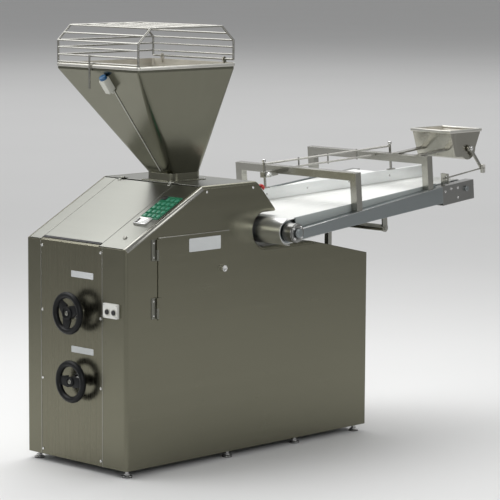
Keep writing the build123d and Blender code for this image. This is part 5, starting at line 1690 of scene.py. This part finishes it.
@dataclass
class Studio:
    """Pale floor, soft light and the camera."""

    lamps: tuple[Softbox, ...] = (
        Softbox("top_softbox", (0.6, 1.1, 4.3), (0.0, 0.1, 0.9), (4.2, 3.4), 125.0),
        Softbox("left_softbox", (-2.1, 1.3, 2.4), (-1.0, 0.4, 0.2), (2.0, 2.0), 36.0),
        Softbox("near_softbox", (1.6, -4.4, 2.8), (0.1, 0.0, 0.7), (2.6, 2.2), 44.0),
        Softbox("corner_softbox", (-5.7, -5.1, 2.7), (-0.9, -0.2, 0.6), (1.8, 1.8), 80.0),
        Softbox("floor_softbox", (10.5, 10.3, 8.5), (10.5, 10.3, 0.0), (22.0, 22.0), 1000.0),
    )
    floor_size: float = 160.0
    floor_colour: Colour = (0.72, 0.72, 0.715)
    world_colour: Colour = (0.90, 0.905, 0.91)
    world_strength: float = 0.40
    camera_place: Point = (-5877.4, -6372.2, 1948.2)
    camera_yaw: float = 44.415
    camera_pitch: float = 7.350
    camera_roll: float = 0.301
    focal_pixels: float = 2471.87
    frame_pixels: float = 500.0
    sensor: float = 36.0
    far_limit: float = 300.0

    def build(self) -> None:
        """Make the floor, the world, the lamps and the camera."""
        self.floor()
        self.world()
        for lamp in self.lamps:
            lamp.hang()
        self.camera()

    def floor(self) -> None:
        """Wide pale floor."""
        Blank.clear()
        bpy.ops.mesh.primitive_plane_add(size=self.floor_size)
        floor = bpy.context.active_object
        floor.name = "studio_floor"
        shader = Shader("studio_floor")
        cloud = shader.noise(0.6, 3.0)
        shader.dress(Base_Color=shader.scaled(self.floor_colour, 0.98 + 0.04 * cloud), Roughness=0.75)
        floor.data.materials.append(shader.material)

    def world(self) -> None:
        """Even pale surroundings."""
        world = bpy.data.worlds.new("studio")
        bpy.context.scene.world = world
        world.use_nodes = True
        background = world.node_tree.nodes["Background"]
        background.inputs["Color"].default_value = (*self.world_colour, 1.0)
        background.inputs["Strength"].default_value = self.world_strength

    def camera(self) -> None:
        """Camera at the photograph's viewing angle."""
        yaw, pitch = math.radians(self.camera_yaw), math.radians(self.camera_pitch)
        level = math.cos(pitch)
        ahead = Vector((math.cos(yaw) * level, math.sin(yaw) * level, -math.sin(pitch)))
        data = bpy.data.cameras.new("view")
        data.sensor_width = self.sensor
        data.lens = self.focal_pixels / self.frame_pixels * self.sensor
        data.clip_end = self.far_limit
        camera = bpy.data.objects.new("view", data)
        roll = Matrix.Rotation(math.radians(self.camera_roll), 4, "Z")
        aim = ahead.to_track_quat("-Z", "Y").to_matrix().to_4x4()
        camera.matrix_world = standing(*self.camera_place) @ aim @ roll
        bpy.context.scene.collection.objects.link(camera)
        bpy.context.scene.camera = camera


def dress_nodes() -> None:
    """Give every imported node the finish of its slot, or its own."""
    for row in frame["record"]["subparts"]:
        node = row["node"]
        finish = NODE_FINISH.get(node, SLOT_FINISH[Slot(row["material_slot"])])
        materials = frame["nodes"][node].data.materials
        materials.clear()
        materials.append(finish.material())
        LOG.info("node %s has finish %s", node, finish.name)


def main() -> None:
    """Dress the nodes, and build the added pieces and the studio."""
    logging.basicConfig(level=logging.INFO, format="%(name)s: %(message)s")
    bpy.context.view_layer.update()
    dress_nodes()
    wheels = (Handwheel("upper_wheel", "upper_handwheel", "weight_wheel_turn", 3, 20.0, hub_radius=25.0),
              Handwheel("lower_wheel", "lower_handwheel", "valve_wheel_turn", 2, 0.0))
    for group in (Cabinet(), ControlStrip(), *wheels, PushButtons(), SideDoor(), HopperTop(), Conveyor(),
                  Duster(), MachineRoom(), Studio()):
        group.build()
    Blank.clear()
    bpy.context.scene.view_settings.view_transform = "Standard"


if __name__ == "__main__":
    main()
